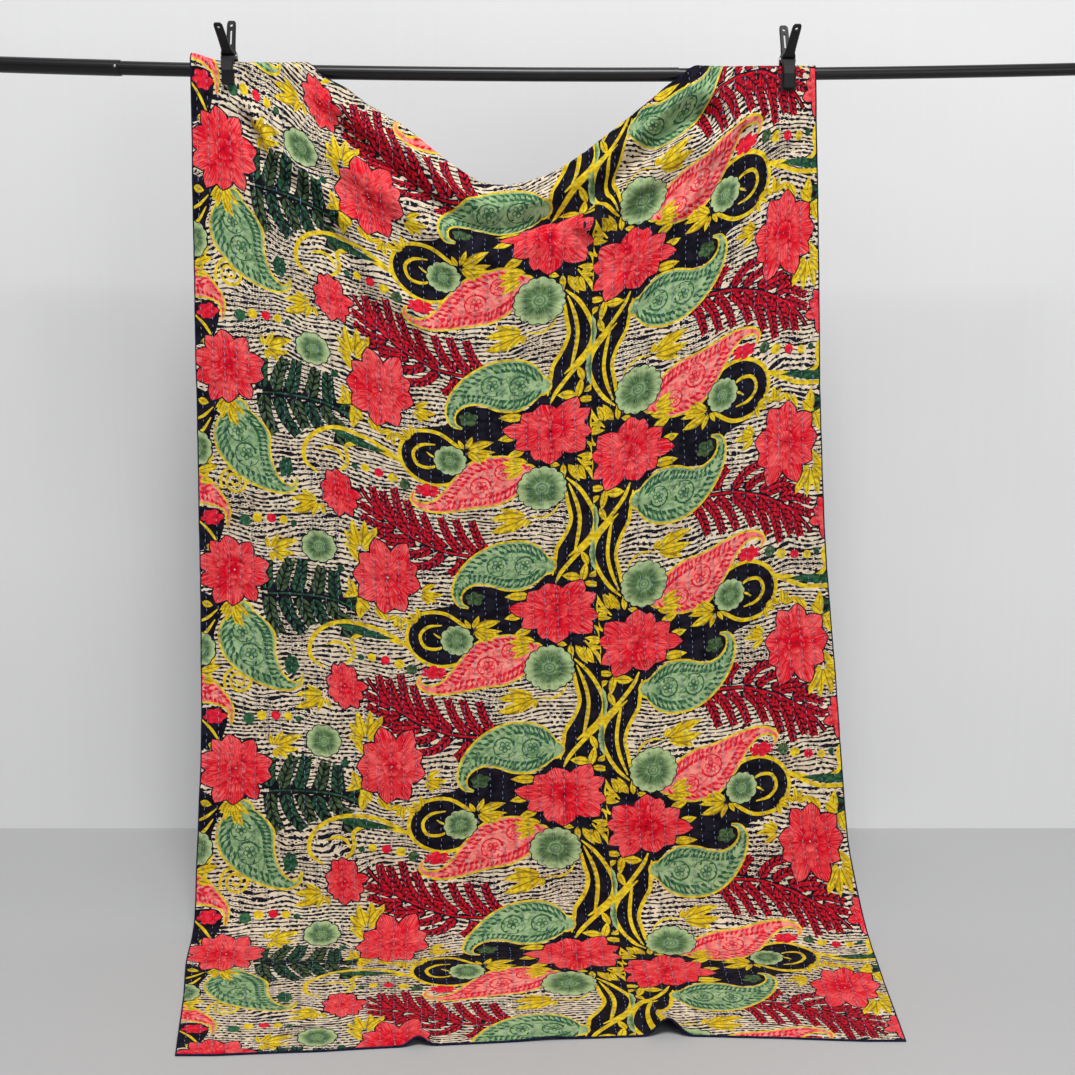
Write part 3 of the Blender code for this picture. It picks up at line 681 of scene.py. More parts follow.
def addSprig(foot, tips):
    bare = sprigLook["bare"]
    for k, tip in enumerate(tips):
        reach = math.hypot(tip[0] - foot[0], tip[1] - foot[1])
        start = (foot[0] + bare * (tip[0] - foot[0]), foot[1] + bare * (tip[1] - foot[1]))
        bow = sprigLook["bow"] * reach * (1 if k % 2 else -1)
        addLeaf("leafMustard", start, tip, sprigLook["widthShare"] * reach + sprigLook["widthMore"], bow)


paisleyLook = {"rim": 4.6, "rimTail": (0.35, 4), "inset": 0.2, "thinnest": (0.6, 0.3), "capPoints": 9}


def addPaisley(bodyInk, spine):
    look = paisleyLook
    route = smoothRoute(spine, 4)
    middle, half = route[:, :2], np.maximum(route[:, 2], look["thinnest"][0])
    ahead = middle[0] - middle[1]
    ahead /= np.linalg.norm(ahead)
    across = np.array([-ahead[1], ahead[0]])
    capAngles = np.linspace(np.pi / 2, -np.pi / 2, look["capPoints"])[1:-1]
    left = np.linspace(1, 0, len(half))
    rimWidth = half + look["rim"] * np.minimum(1, look["rimTail"][0] + look["rimTail"][1] * left)
    bodyWidth = np.maximum(half - look["inset"], look["thinnest"][1])
    for ink, width in (("mustard", rimWidth), (bodyInk, bodyWidth)):
        turned = np.cos(capAngles)[:, None] * ahead + np.sin(capAngles)[:, None] * across
        cap = middle[0] + width[0] * turned
        addShape(ink, np.concatenate([bandOutline(middle, width), cap]), middle[4], (60, 60))


# Small curved strokes that follow both sides of a paisley, in an outer row and an inner one where it is wide
scrollLook = {"pitch": 11.0, "run": 13, "stopBefore": 20, "leastHalf": 8, "clearOfRosette": 1.06}
outerScroll = {"wideHalf": 30, "depth": 16, "narrowShare": 0.30, "rim": 4.0, "rimShare": 0.5, "half": 3.2,
               "bow": 3.4}
innerScroll = {"leastHalf": 24, "footDepth": 25, "tipDepth": 14, "half": 4.0, "bow": -2.4}


def clearOfRosettes(spot):
    return all(np.hypot(spot[0] - across, spot[1] - down) > scrollLook["clearOfRosette"] * radius
               for across, down, radius, _, _ in rosettes)


def addScrolls(ink, spine):
    route = smoothRoute(spine, 10)
    middle, half = route[:, :2], route[:, 2]
    gone = lengthsAlong(middle)
    side = sideways(middle)
    for place in np.arange(0, gone[-1] - scrollLook["stopBefore"], scrollLook["pitch"]):
        k = int(np.searchsorted(gone, place))
        later = min(int(np.searchsorted(gone, place + scrollLook["run"])), len(gone) - 1)
        if half[k] < scrollLook["leastHalf"]:
            continue
        isWide = half[k] > outerScroll["wideHalf"]
        footOff = half[k] - outerScroll["depth"] if isWide else outerScroll["narrowShare"] * half[k]
        tipOff = max(half[later] - outerScroll["rim"], outerScroll["rimShare"] * half[later])
        for sign in (-1, 1):
            foot = middle[k] + sign * side[k] * footOff
            tip = middle[later] + sign * side[later] * tipOff
            addLeaf(ink, foot, tip, outerScroll["half"], outerScroll["bow"] * sign, 4)
            if half[k] > innerScroll["leastHalf"]:
                foot = middle[k] + sign * side[k] * (half[k] - innerScroll["footDepth"])
                tip = middle[later] + sign * side[later] * (half[later] - innerScroll["tipDepth"])
                if clearOfRosettes(0.5 * (foot + tip)):
                    addLeaf(ink, foot, tip, innerScroll["half"], innerScroll["bow"] * sign, 4)


# Rosette in a paisley: an open loop, a small flower of five petals and five marks, as shares of its radius
rosetteLook = {
    "loopStart": 0.4, "loopTurn": 1.85, "loopPoints": 14, "loopReach": (0.98, 0.05), "loopHalf": (0.8, 2.4),
    "petalTurn": 0.3, "petalPlace": 0.29, "petalSizes": (0.20, 0.125), "eye": 0.13,
    "markStart": 0.9, "markTurn": 1.15, "markEnds": (0.62, 0.90), "markLean": 0.4, "markHalf": 2.3,
}


def addRosette(across, down, radius, ink, paleInk):
    look = rosetteLook

    def spotAt(share, turned):
        return across + share * radius * math.cos(turned), down + share * radius * math.sin(turned)

    angle = np.linspace(look["loopStart"], look["loopStart"] + look["loopTurn"] * np.pi, look["loopPoints"])
    reach = radius * (look["loopReach"][0] - look["loopReach"][1] * angle)
    loop = np.stack([across + reach * np.cos(angle), down + reach * np.sin(angle)], 1)
    addShape(ink, bandOutline(loop, np.linspace(*look["loopHalf"], len(loop))))
    around = np.arange(5) * 2 * np.pi / 5 + look["petalTurn"]
    for share, petalInk in zip(look["petalSizes"], (ink, paleInk)):
        for turned in around:
            spot = spotAt(look["petalPlace"], turned)
            addShape(petalInk, ringAround(spot, share * radius, share * radius, np.ones(6)))
    addShape(ink, ringAround((across, down), look["eye"] * radius, look["eye"] * radius, np.ones(6)))
    for k in range(5):
        turned = look["markStart"] + look["markTurn"] * k
        foot = spotAt(look["markEnds"][0], turned)
        tip = spotAt(look["markEnds"][1], turned + look["markLean"])
        addLeaf(ink, foot, tip, look["markHalf"], 0.0, 4)


def addSpiral():
    angle = np.linspace(0, 2 * np.pi * spiral["turns"], 34)
    reach = spiral["radius"] * (1 - spiral["closing"] * angle / angle[-1])
    phase = math.radians(spiral["start"])
    across = spiral["centre"][0] + reach * np.cos(angle + phase)
    down = spiral["centre"][1] + reach * np.sin(angle + phase)
    halves = np.linspace(spiral["half"], spiral["thinning"] * spiral["half"], len(angle))
    addShape("mustard", bandOutline(np.stack([across, down], 1), halves))


def addBand(half, points):
    route = smoothRoute(points, 3)
    fromEnd = np.minimum(np.arange(len(route)), np.arange(len(route))[::-1])
    addShape("mustard", bandOutline(route, half * np.minimum(1, 0.35 + fromEnd / 4)))


def addFlower(ink, across, down, half, tall, radii):
    addShape(ink, ringAround((across, down), half, tall, radii), (across, down), (half, tall))


def chartPrint():
    for outline in blackShapes:
        addShape("black", smoothRoute(outline, 4, True))
    for fern in ferns:
        addFern(*fern)
    *flower, lobes, cut, seed = lowFlower
    addFlower(*flower, lobeRadii(lobes, cut, 0, seed))
    for band in bands:
        addBand(*band)
    addSpiral()
    for bodyInk, lineInk, spine in paisleys:
        addPaisley(bodyInk, spine)
        addScrolls(lineInk, spine)
    for rosette in rosettes:
        addRosette(*rosette)
    for ink, group in leaves:
        for a, b, c, d, half in group:
            addLeaf(ink, (a, b), (c, d), half, 0.8)
    for foot, *tips in sprigs:
        addSprig(foot, tips)
    for *flower, lobes, cut, seed in smallFlowers:
        radii = lobeRadii(lobes, cut, 20 * seed, seed)
        ink, across, down, half, tall = flower
        edge = printLayout["outline"]
        if ink == "sage":
            addShape("black", ringAround((across, down), half + edge, tall + edge, radii))
        addFlower(*flower, radii)
    for bloom in (roundFlower,) + largeFlowers:
        addBloom(*bloom)
    for ink, across, down, radius in dots:
        addFlower(ink, across, down, radius, radius, np.ones(12))


# The crest of the sag gathers the cloth, so the print sits a little lower there than on a flat quilt
slip = {
    "crest": 0.036, "ends": (0.03, 0.16), "left": (0.36, 0.50), "right": (0.88, 1.00), "last": (0.37, 0.425),
}
# Where the print also moves: across, below the crest, reach across and along, moved across and along
slipSpots = ((0.700, 0.150, 0.090, 0.035, 0.0, -0.017), (0.980, 0.050, 0.070, 0.080, -0.027, 0.008))


def printSlip(flat):
    across, along = flat[:, 0], flat[:, 1]
    below = along - topFold(across)[0]
    moved = np.zeros_like(flat)
    window = smoothStep(across, *slip["left"]) * (1 - smoothStep(across, *slip["right"]))
    moved[:, 1] = slip["crest"] * window * (1 - smoothStep(below, *slip["ends"]))
    for middle, depth, wide, tall, sideways, down in slipSpots:
        share = np.exp(-(((across - middle) / wide) ** 2) - ((below - depth) / tall) ** 2)
        moved += share[:, None] * np.array((sideways, down))
    return moved * (1 - smoothStep(along, *slip["last"]))[:, None]


# The place on the unslipped print that came to lie at a flat point
def unslipped(flat):
    spots = flat
    for _ in range(4):
        spots = flat - printSlip(spots)
    return spots


# Chart millimetres to flat metres, for the repeat with this number and for either panel
def onLeftPanel(points, number):
    across, along = printLayout["leftStart"]
    return np.asarray(points, float) / 1000 + np.array([across, along + number * printLayout["repeat"]])


def onRightPanel(points, number):
    points = np.asarray(points, float) / 1000
    across = printLayout["rightStart"][0] - printLayout["rightShare"] * points[:, 0]
    along = printLayout["rightStart"][1] - points[:, 1] + printLayout["rightSkew"] * points[:, 0]
    return np.stack([across, along + number * printLayout["repeat"]], 1)


def clipOutline(outline, axis, limit, keepAbove):
    sign = 1.0 if keepAbove else -1.0
    inside = sign * (outline[:, axis] - limit) >= 0
    if inside.all():
        return outline
    if not inside.any():
        return outline[:0]
    kept = []
    for k in range(len(outline)):
        here, there = outline[k], outline[(k + 1) % len(outline)]
        if inside[k]:
            kept.append(here)
        if inside[k] != inside[(k + 1) % len(outline)]:
            low, high = (here, there) if here[axis] < there[axis] else (there, here)
            t = (limit - low[axis]) / (high[axis] - low[axis])
            crossing = low + (high - low) * t
            crossing[axis] = limit
            kept.append(crossing)
    return np.array(kept)


def insideOutline(points, outline):
    ahead = np.roll(outline, -1, 0)
    x, y = points[:, 0:1], points[:, 1:2]
    x0, y0, x1, y1 = outline[:, 0], outline[:, 1], ahead[:, 0], ahead[:, 1]
    spans = (y0 > y) != (y1 > y)
    rise = np.where(y1 == y0, 1.0, y1 - y0)
    crossing = x0 + (x1 - x0) * (y - y0) / rise
    return (spans & (x < crossing)).sum(1) % 2 == 1


# Cuts one block of a panel into triangles along every printed outline that reaches into it
def cutBlock(outlines, low, high, steps):
    counts = [max(int(round((high[k] - low[k]) / steps[k])), 1) for k in (0, 1)]
    columns = np.linspace(low[0], high[0], counts[0] + 1)
    rows = np.linspace(low[1], high[1], counts[1] + 1)
    half = 0.5 * (columns[1] - columns[0])
    points = []
    for r, along in enumerate(rows):
        shift = half if r % 2 and r < len(rows) - 1 else 0.0
        inner = [(across + shift, along) for across in columns[1:-1]]
        points += [(columns[0], along)] + inner + [(columns[-1], along)]
    edges = []
    corners = [(low[0], low[1]), (high[0], low[1]), (high[0], high[1]), (low[0], high[1])]
    for outline in [np.array(corners)] + [outline for _, outline in outlines]:
        if (outline.max(0) < low).any() or (outline.min(0) > high).any():
            continue
        for axis in (0, 1):
            if len(outline):
                outline = clipOutline(outline, axis, low[axis], True)
            if len(outline):
                outline = clipOutline(outline, axis, high[axis], False)
        if len(outline) > 2:
            first = len(points)
            edges += [(first + k, first + (k + 1) % len(outline)) for k in range(len(outline))]
            points += [tuple(p) for p in outline]
    made, _, cells, _, _, _ = delaunay_2d_cdt([Vector(p) for p in points], edges, [], 0, 1e-6, False)
    flat = np.array([(p.x, p.y) for p in made])
    cells = np.array(cells)
    middles = flat[cells].mean(1)
    topLayer = np.full(len(cells), -1)
    for layer, outline in outlines:
        if (outline.max(0) <= low).any() or (outline.min(0) >= high).any():
            continue
        near = ((middles >= outline.min(0)) & (middles <= outline.max(0))).all(1)
        if near.any():
            found = np.nonzero(near)[0][insideOutline(middles[near], outline)]
            topLayer[found] = layer
    return flat, cells.tolist(), topLayer.tolist()


# One repeat of a panel, block by block, as flat points, triangles and the number of the shape that each shows
def cutRepeat(isRight, start, end, rowStep, slipped=False):
    place = onRightPanel if isRight else onLeftPanel
    outlines = []
    for layer, shape in enumerate(shapes):
        for number in (-2, -1, 0, 1):
            placed = place(shape[1], number)
            if slipped:
                placed += printSlip(placed)
            outlines.append((4 * layer + number + 2, placed))
    left, right = (printLayout["seam"], clothWidth) if isRight else (0.0, printLayout["seam"])
    across = np.linspace(left, right, int(round((right - left) / printLayout["block"])) + 1)
    along = np.linspace(start, end, max(int(round((end - start) / printLayout["block"])), 1) + 1)
    allPoints, allCells, allLayers = [], [], []
    count = 0
    for c in range(len(across) - 1):
        for r in range(len(along) - 1):
            low = np.array([across[c], along[r]])
            high = np.array([across[c + 1], along[r + 1]])
            flat, cells, topLayer = cutBlock(outlines, low, high, (printLayout["grid"], rowStep))
            allPoints.append(flat)
            allCells += [(i + count, j + count, k + count) for i, j, k in cells]
            allLayers += topLayer
            count += len(flat)
    return np.concatenate(allPoints), np.array(allCells), np.array(allLayers)


# Finer creases that the solid leaves out, as ridges between two points (x, drop), width and height
creases = {
    "left clamp fan low": ((-0.600, 0.070), (-0.470, 0.330), 0.010, 0.0035),
    "left clamp fan high": ((-0.570, 0.045), (-0.430, 0.120), 0.010, 0.0045),
    "right clamp fan low": ((0.480, 0.080), (0.400, 0.260), 0.011, 0.0035),
    "right clamp fan high": ((0.450, 0.060), (0.320, 0.110), 0.009, 0.0040),
    "swag left fine": ((-0.260, 0.230), (-0.070, 0.330), 0.011, 0.0035),
    "swag right fine": ((0.270, 0.190), (0.090, 0.310), 0.012, 0.0035),
    "swag middle": ((-0.130, 0.300), (0.120, 0.330), 0.013, 0.0035),
    "middle dent": ((0.060, 0.480), (0.230, 0.455), 0.012, 0.0030),
    "middle dent low": ((0.080, 0.900), (0.230, 0.880), 0.012, 0.0030),
    "seam pull": ((0.150, 0.620), (0.320, 0.560), 0.014, 0.0025),
    "lower seam pull": ((0.150, 1.080), (0.300, 1.050), 0.014, 0.0025),
    "left upright": ((-0.520, 0.500), (-0.500, 1.050), 0.030, 0.0030),
    "right upright": ((0.330, 0.480), (0.350, 1.150), 0.030, 0.0030),
    "foot crease": ((-0.450, 1.620), (-0.100, 1.640), 0.020, 0.0030),
    "foot crease right": ((0.150, 1.560), (0.520, 1.600), 0.020, 0.0030),
    "left diagonal ridge": ((-0.585, 0.060), (-0.400, 0.300), 0.017, 0.0115),
    "left diagonal valley": ((-0.635, 0.080), (-0.455, 0.300), 0.017, -0.0105),
    "left diagonal ridge low": ((-0.400, 0.300), (-0.210, 0.560), 0.024, 0.0095),
    "left diagonal valley low": ((-0.455, 0.300), (-0.250, 0.600), 0.024, -0.0100),
    "right diagonal ridge": ((0.330, 0.220), (0.170, 0.430), 0.018, 0.0085),
    "right diagonal valley": ((0.420, 0.140), (0.200, 0.500), 0.018, -0.0090),
    "seam valley": ((0.190, 0.430), (0.120, 0.760), 0.016, -0.0055),
    "right clamp valley": ((0.560, 0.110), (0.420, 0.260), 0.014, -0.0045),
    "right clamp ridge": ((0.540, 0.070), (0.430, 0.190), 0.013, 0.0050),
}
# Under the sagging top edge: distance below the fold, half width, height
crestFolds = ((0.046, 0.028, 0.0200), (0.102, 0.026, -0.0190), (0.165, 0.030, 0.0070))
crestSpan = (-0.52, -0.34, 0.30, 0.47)
# Soft uneven ripples: turns per metre across and along, height, seed
ripples = ((9, 13, 0.0034, 1), (24, 36, 0.0022, 2), (44, 84, 0.0014, 3))
# How far creases wander, how the drop goes on along the floor, and where the relief calms down
reliefLook = {
    "bend": 0.012, "floorFrom": 0.10, "floorShare": 0.55, "top": (0.05, 0.12), "crestTop": (0.0, 0.015),
    "foot": (0.0, 0.02), "flatFrom": 0.30, "flatOver": (0.0, 0.1), "flatShare": 0.6,
}


# Smooth chance values between -0.5 and 0.5 that don't repeat within the cloth
def softNoise(x, y, number):
    size = 256
    table = np.random.default_rng(number).random((size, size)) - 0.5
    column, row = np.floor(x).astype(int), np.floor(y).astype(int)
    tx, ty = x - column, y - row
    tx, ty = tx * tx * (3 - 2 * tx), ty * ty * (3 - 2 * ty)
    left, right = column % size, (column + 1) % size
    top, foot = row % size, (row + 1) % size
    low = table[top, left] * (1 - tx) + table[top, right] * tx
    high = table[foot, left] * (1 - tx) + table[foot, right] * tx
    return low * (1 - ty) + high * ty


def fineRelief(points, across, along):
    look = reliefLook
    x = points[:, 0]
    ahead = np.maximum(rodY - look["floorFrom"] - points[:, 1], 0.0)
    drop = datumHeight - points[:, 2] + look["floorShare"] * ahead
    relief = ridgeRelief(creases, x, drop, 1.0, look["bend"])
    for perMetreAcross, perMetreAlong, height, number in ripples:
        relief += height * softNoise(across * perMetreAcross, along * perMetreAlong, number)
    below = along - topFold(across)[0]
    sagging = smoothStep(x, crestSpan[0], crestSpan[1]) * (1 - smoothStep(x, crestSpan[2], crestSpan[3]))
    crest = sum(height * np.exp(-(((below - middle) / width) ** 2)) for middle, width, height in crestFolds)
    crest *= sagging * smoothStep(below, *look["crestTop"])
    calm = smoothStep(below, *look["top"])
    calm *= smoothStep(clothLength - along, *look["foot"])
    onFloor = 1 - look["flatShare"] * smoothStep(rodY - look["flatFrom"] - points[:, 1], *look["flatOver"])
    return relief * calm * onFloor + crest


# Middle of the cloth, its outward direction and the fine relief at flat points
def clothSurface(across, along):
    step = 0.0012
    points = drape(across, along)
    relief = fineRelief(points, across, along)
    acrossStep = drape(across + step, along) - drape(across - step, along)
    alongStep = drape(across, along + step) - drape(across, along - step)
    normals = np.cross(alongStep, acrossStep)
    normals /= np.linalg.norm(normals, axis=1, keepdims=True)
    return points, normals, relief


def frontPoints(across, along):
    points, normals, relief = clothSurface(across, along)
    placed = points + normals * (clothThick / 2 + relief)[:, None]
    placed[:, 2] = np.maximum(placed[:, 2], clothThick * 0.8)
    return placed, normals


# The direction in which the finished front faces, creases and ripples included
def frontNormals(across, along):
    step = 0.0022
    ahead, _ = frontPoints(across + step, along)
    behind, _ = frontPoints(across - step, along)
    below, _ = frontPoints(across, along + step)
    above, _ = frontPoints(across, along - step)
    normals = np.cross(below - above, ahead - behind)
    return normals / np.linalg.norm(normals, axis=1, keepdims=True)


# Flat metres back to chart millimetres
def chartOf(flat, isRight, number):
    repeat = printLayout["repeat"]
    if isRight:
        du = -(flat[:, 0] - printLayout["rightStart"][0]) / printLayout["rightShare"]
        dv = -(flat[:, 1] - printLayout["rightStart"][1] - number * repeat) + printLayout["rightSkew"] * du
    else:
        du = flat[:, 0] - printLayout["leftStart"][0]
        dv = flat[:, 1] - printLayout["leftStart"][1] - number * repeat
    return 1000 * np.stack([du, dv], 1)


def addMesh(name, verts, faces, smooth=True):
    mesh = bpy.data.meshes.new(name)
    verts = np.asarray(verts, np.float32)
    faces = np.asarray(faces, np.int32)
    sides = faces.shape[1]
    mesh.vertices.add(len(verts))
    mesh.vertices.foreach_set("co", verts.ravel())
    mesh.loops.add(faces.size)
    mesh.loops.foreach_set("vertex_index", faces.ravel())
    mesh.polygons.add(len(faces))
    mesh.polygons.foreach_set("loop_start", np.arange(0, faces.size, sides, dtype=np.int32))
    mesh.update(calc_edges=True)
    if smooth:
        mesh.shade_smooth()
    item = bpy.data.objects.new(name, mesh)
    bpy.context.collection.objects.link(item)
    return item


def buildPanel(name, isRight):
    repeat = printLayout["repeat"]
    usual = cutRepeat(isRight, 0.0, repeat, printLayout["grid"])
    middle = repeat / 2
    topHalf = cutRepeat(isRight, 0.0, middle, printLayout["topGrid"], True)
    nextHalf = cutRepeat(isRight, middle, repeat, printLayout["grid"], True)
    whole = int(clothLength / repeat)
    lastPart = cutRepeat(isRight, 0.0, clothLength - whole * repeat, printLayout["grid"])
    parts = [(0, topHalf), (0, nextHalf)] + [(k, usual) for k in range(1, whole)] + [(whole, lastPart)]
    flats, cells, layers, numbers = [], [], [], []
    count = 0
    for number, (flat, cell, layer) in parts:
        flats.append(flat + np.array([0.0, number * repeat]))
        cells.append(cell + count)
        layers.append(layer)
        numbers.append(np.full(len(cell), number))
        count += len(flat)
    flat = np.concatenate(flats)
    cell = np.concatenate(cells)
    layer = np.concatenate(layers)
    number = np.concatenate(numbers)
    rounded = np.round(flat / 1e-5).astype(np.int64)
    _, first, merged = np.unique(rounded, axis=0, return_index=True, return_inverse=True)
    flat = flat[first]
    cell = merged.reshape(-1)[cell]
    different = (cell[:, 0] != cell[:, 1]) & (cell[:, 1] != cell[:, 2]) & (cell[:, 2] != cell[:, 0])
    cell, layer, number = cell[different][:, ::-1], layer[different], number[different]
    verts, _ = frontPoints(flat[:, 0], flat[:, 1])
    item = addMesh(name, verts, cell)
    mesh = item.data

    inkOf = np.array([shape[0] for shape in shapes])
    shapeNumber = np.where(layer >= 0, layer // 4, 0)
    shift = layer % 4 - 2
    ink = np.where(layer >= 0, inkOf[shapeNumber], 0)
    corners = flat[cell]
    local = np.zeros((len(cell), 3, 2))
    centres = np.array([shape[2] for shape in shapes])
    sizes = np.array([shape[3] for shape in shapes])
    turns = np.array([shape[4] for shape in shapes])
    for n in np.unique(number):
        for s in (-2, -1, 0, 1):
            here = (number == n) & (layer >= 0) & (shift == s)
            if not here.any():
                continue
            spots = corners[here].reshape(-1, 2)
            chart = chartOf(unslipped(spots) if n == 0 else spots, isRight, n + s).reshape(-1, 3, 2)
            which = shapeNumber[here]
            off = chart - centres[which][:, None, :]
            cos, sin = np.cos(turns[which])[:, None], np.sin(turns[which])[:, None]
            local[here, :, 0] = (off[..., 0] * cos + off[..., 1] * sin) / sizes[which, 0][:, None]
            local[here, :, 1] = (-off[..., 0] * sin + off[..., 1] * cos) / sizes[which, 1][:, None]
    flatMap = mesh.uv_layers.new(name="flat")
    flatMap.data.foreach_set("uv", corners.reshape(-1).astype(np.float32))
    motifMap = mesh.uv_layers.new(name="motif")
    motifMap.data.foreach_set("uv", local.reshape(-1).astype(np.float32))
    variety = mesh.attributes.new("variety", "FLOAT", "FACE")
    variety.data.foreach_set("value", ((shapeNumber * 0.377 + number * 0.213) % 1.0).astype(np.float32))
    for inkName in inks:
        mesh.materials.append(inkMaterials[inkName])
    mesh.polygons.foreach_set("material_index", ink.astype(np.int32))
    mesh.normals_split_custom_set_from_vertices(frontNormals(flat[:, 0], flat[:, 1]).tolist())
    print(f"{name}: {len(cell)} triangles")
    return item


# Node helpers
def startMaterial(name):
    material = bpy.data.materials.new(name)
    material.use_nodes = True
    tree = material.node_tree
    shader = tree.nodes["Principled BSDF"]
    return material, tree, shader


def newNode(tree, kind, **settings):
    node = tree.nodes.new(kind)
    for key, value in settings.items():
        setattr(node, key, value)
    return node


def calc(tree, operation, first, second=None, third=None, clamp=False):
    node = newNode(tree, "ShaderNodeMath", operation=operation, use_clamp=clamp)
    for slot, value in enumerate((first, second, third)):
        if value is None:
            continue
        if isinstance(value, (int, float)):
            node.inputs[slot].default_value = value
        else:
            tree.links.new(value, node.inputs[slot])
    return node.outputs[0]


def plus(tree, first, second):
    return calc(tree, "ADD", first, second)


def minus(tree, first, second):
    return calc(tree, "SUBTRACT", first, second)


def times(tree, first, second, clamp=False):
    return calc(tree, "MULTIPLY", first, second, clamp=clamp)


def timesPlus(tree, first, second, third):
    return calc(tree, "MULTIPLY_ADD", first, second, third)


def mixColour(tree, share, first, second):
    node = newNode(tree, "ShaderNodeMix", data_type="RGBA")
    for slot, value in ((0, share), (6, first), (7, second)):
        if isinstance(value, (int, float)):
            node.inputs[slot].default_value = value
        elif isinstance(value, tuple):
            node.inputs[slot].default_value = (*value, 1.0)
        else:
            tree.links.new(value, node.inputs[slot])
    return node.outputs[2]


def noiseAt(tree, vector, scaleX, scaleY, detail=2.0, offset=0.0):
    mapping = newNode(tree, "ShaderNodeMapping")
    mapping.inputs["Scale"].default_value = (scaleX, scaleY, 1.0)
    mapping.inputs["Location"].default_value = (offset, 0.7 * offset, 0.3 * offset)
    tree.links.new(vector, mapping.inputs["Vector"])
    noise = newNode(tree, "ShaderNodeTexNoise")
    noise.inputs["Scale"].default_value = 1.0
    noise.inputs["Detail"].default_value = detail
    tree.links.new(mapping.outputs[0], noise.inputs["Vector"])
    return noise.outputs[0]


def steps(tree, value, low, high):
    node = newNode(tree, "ShaderNodeMapRange", interpolation_type="SMOOTHSTEP")
    node.inputs["From Min"].default_value = low
    node.inputs["From Max"].default_value = high
    tree.links.new(value, node.inputs["Value"])
    return node.outputs[0]


clothLook = {
    "lineSpacing": 0.026, "stitchSpacing": 0.0135,
    "lineDip": 0.0019, "dipWidth": 0.0040, "dipBeat": (0.42, 0.58),
    "ripple": 0.0027, "rippleScale": (26.0, 92.0), "thread": 0.00016, "threadScale": (1900.0, 260.0),
    "fade": 0.10, "fadeScale": (5.0, 4.0), "mottle": (0.26, 0.87), "mottleScale": (210.0, 330.0),
    # The last value here darkens the colour where the cloth dips along the stitch lines: painted shade in the
    # dips
    "threadTone": (0.14, 0.86), "dipPaintedShade": -0.24,
    "roughness": 0.9, "specular": 0.10, "sheen": 0.015, "sheenRoughness": 0.4,
}


# Weave, puckers along the running stitches and uneven dye, shared by every part of the cloth; the dips of the
# puckers are also darkened with painted shade
def finishCloth(tree, shader, flatUv, colour):
    look = clothLook
    parts = newNode(tree, "ShaderNodeSeparateXYZ")
    tree.links.new(flatUv, parts.inputs[0])
    across, along = parts.outputs[0], parts.outputs[1]
    spacing = look["lineSpacing"]
    toLine = calc(tree, "PINGPONG", plus(tree, across, spacing / 2), spacing / 2)
    squared = calc(tree, "POWER", calc(tree, "DIVIDE", toLine, look["dipWidth"]), 2.0)
    nearLine = calc(tree, "EXPONENT", times(tree, squared, -1.0))
    beat = calc(tree, "COSINE", times(tree, along, 2 * math.pi / look["stitchSpacing"]))
    dip = times(tree, nearLine, timesPlus(tree, beat, *look["dipBeat"]))
    height = times(tree, dip, -look["lineDip"])
    ripple = noiseAt(tree, flatUv, *look["rippleScale"], 3.0, 3.1)
    height = plus(tree, height, times(tree, ripple, look["ripple"]))
    fine, coarse = look["threadScale"]
    upright = noiseAt(tree, flatUv, fine, coarse, 1.0, 5.0)
    level = noiseAt(tree, flatUv, coarse, fine, 1.0, 9.0)
    threads = plus(tree, upright, level)
    height = plus(tree, height, times(tree, threads, look["thread"]))
    bump = newNode(tree, "ShaderNodeBump")
    bump.inputs["Distance"].default_value = 1.0
    bump.inputs["Strength"].default_value = 1.0
    tree.links.new(height, bump.inputs["Height"])
    tree.links.new(bump.outputs[0], shader.inputs["Normal"])
    dye = noiseAt(tree, flatUv, *look["fadeScale"], 3.0, 12.0)
    mottle = noiseAt(tree, flatUv, *look["mottleScale"], 2.0, 2.0)
    tone = timesPlus(tree, dye, 2 * look["fade"], 1.0 - look["fade"])
    tone = times(tree, tone, timesPlus(tree, mottle, *look["mottle"]))
    tone = times(tree, tone, timesPlus(tree, threads, *look["threadTone"]))
    # Painted shade: the colour is darkened where the cloth dips along the stitch lines
    tone = times(tree, tone, timesPlus(tree, dip, look["dipPaintedShade"], 1.0))
    toned = newNode(tree, "ShaderNodeVectorMath", operation="SCALE")
    tree.links.new(colour, toned.inputs[0])
    tree.links.new(tone, toned.inputs["Scale"])
    tree.links.new(toned.outputs[0], shader.inputs["Base Color"])
    shader.inputs["Roughness"].default_value = look["roughness"]
    shader.inputs["Specular IOR Level"].default_value = look["specular"]
    shader.inputs["Sheen Weight"].default_value = look["sheen"]
    shader.inputs["Sheen Roughness"].default_value = look["sheenRoughness"]


def halfAway(tree, value):
    return calc(tree, "ABSOLUTE", minus(tree, calc(tree, "FRACT", value), 0.5))


def uvNode(tree, name):
    return newNode(tree, "ShaderNodeUVMap", uv_map=name).outputs[0]


def polar(tree, uv):
    length = newNode(tree, "ShaderNodeVectorMath", operation="LENGTH")
    tree.links.new(uv, length.inputs[0])
    parts = newNode(tree, "ShaderNodeSeparateXYZ")
    tree.links.new(uv, parts.inputs[0])
    angle = calc(tree, "ARCTAN2", parts.outputs[1], parts.outputs[0])
    return length.outputs["Value"], angle, parts.outputs[0], parts.outputs[1]


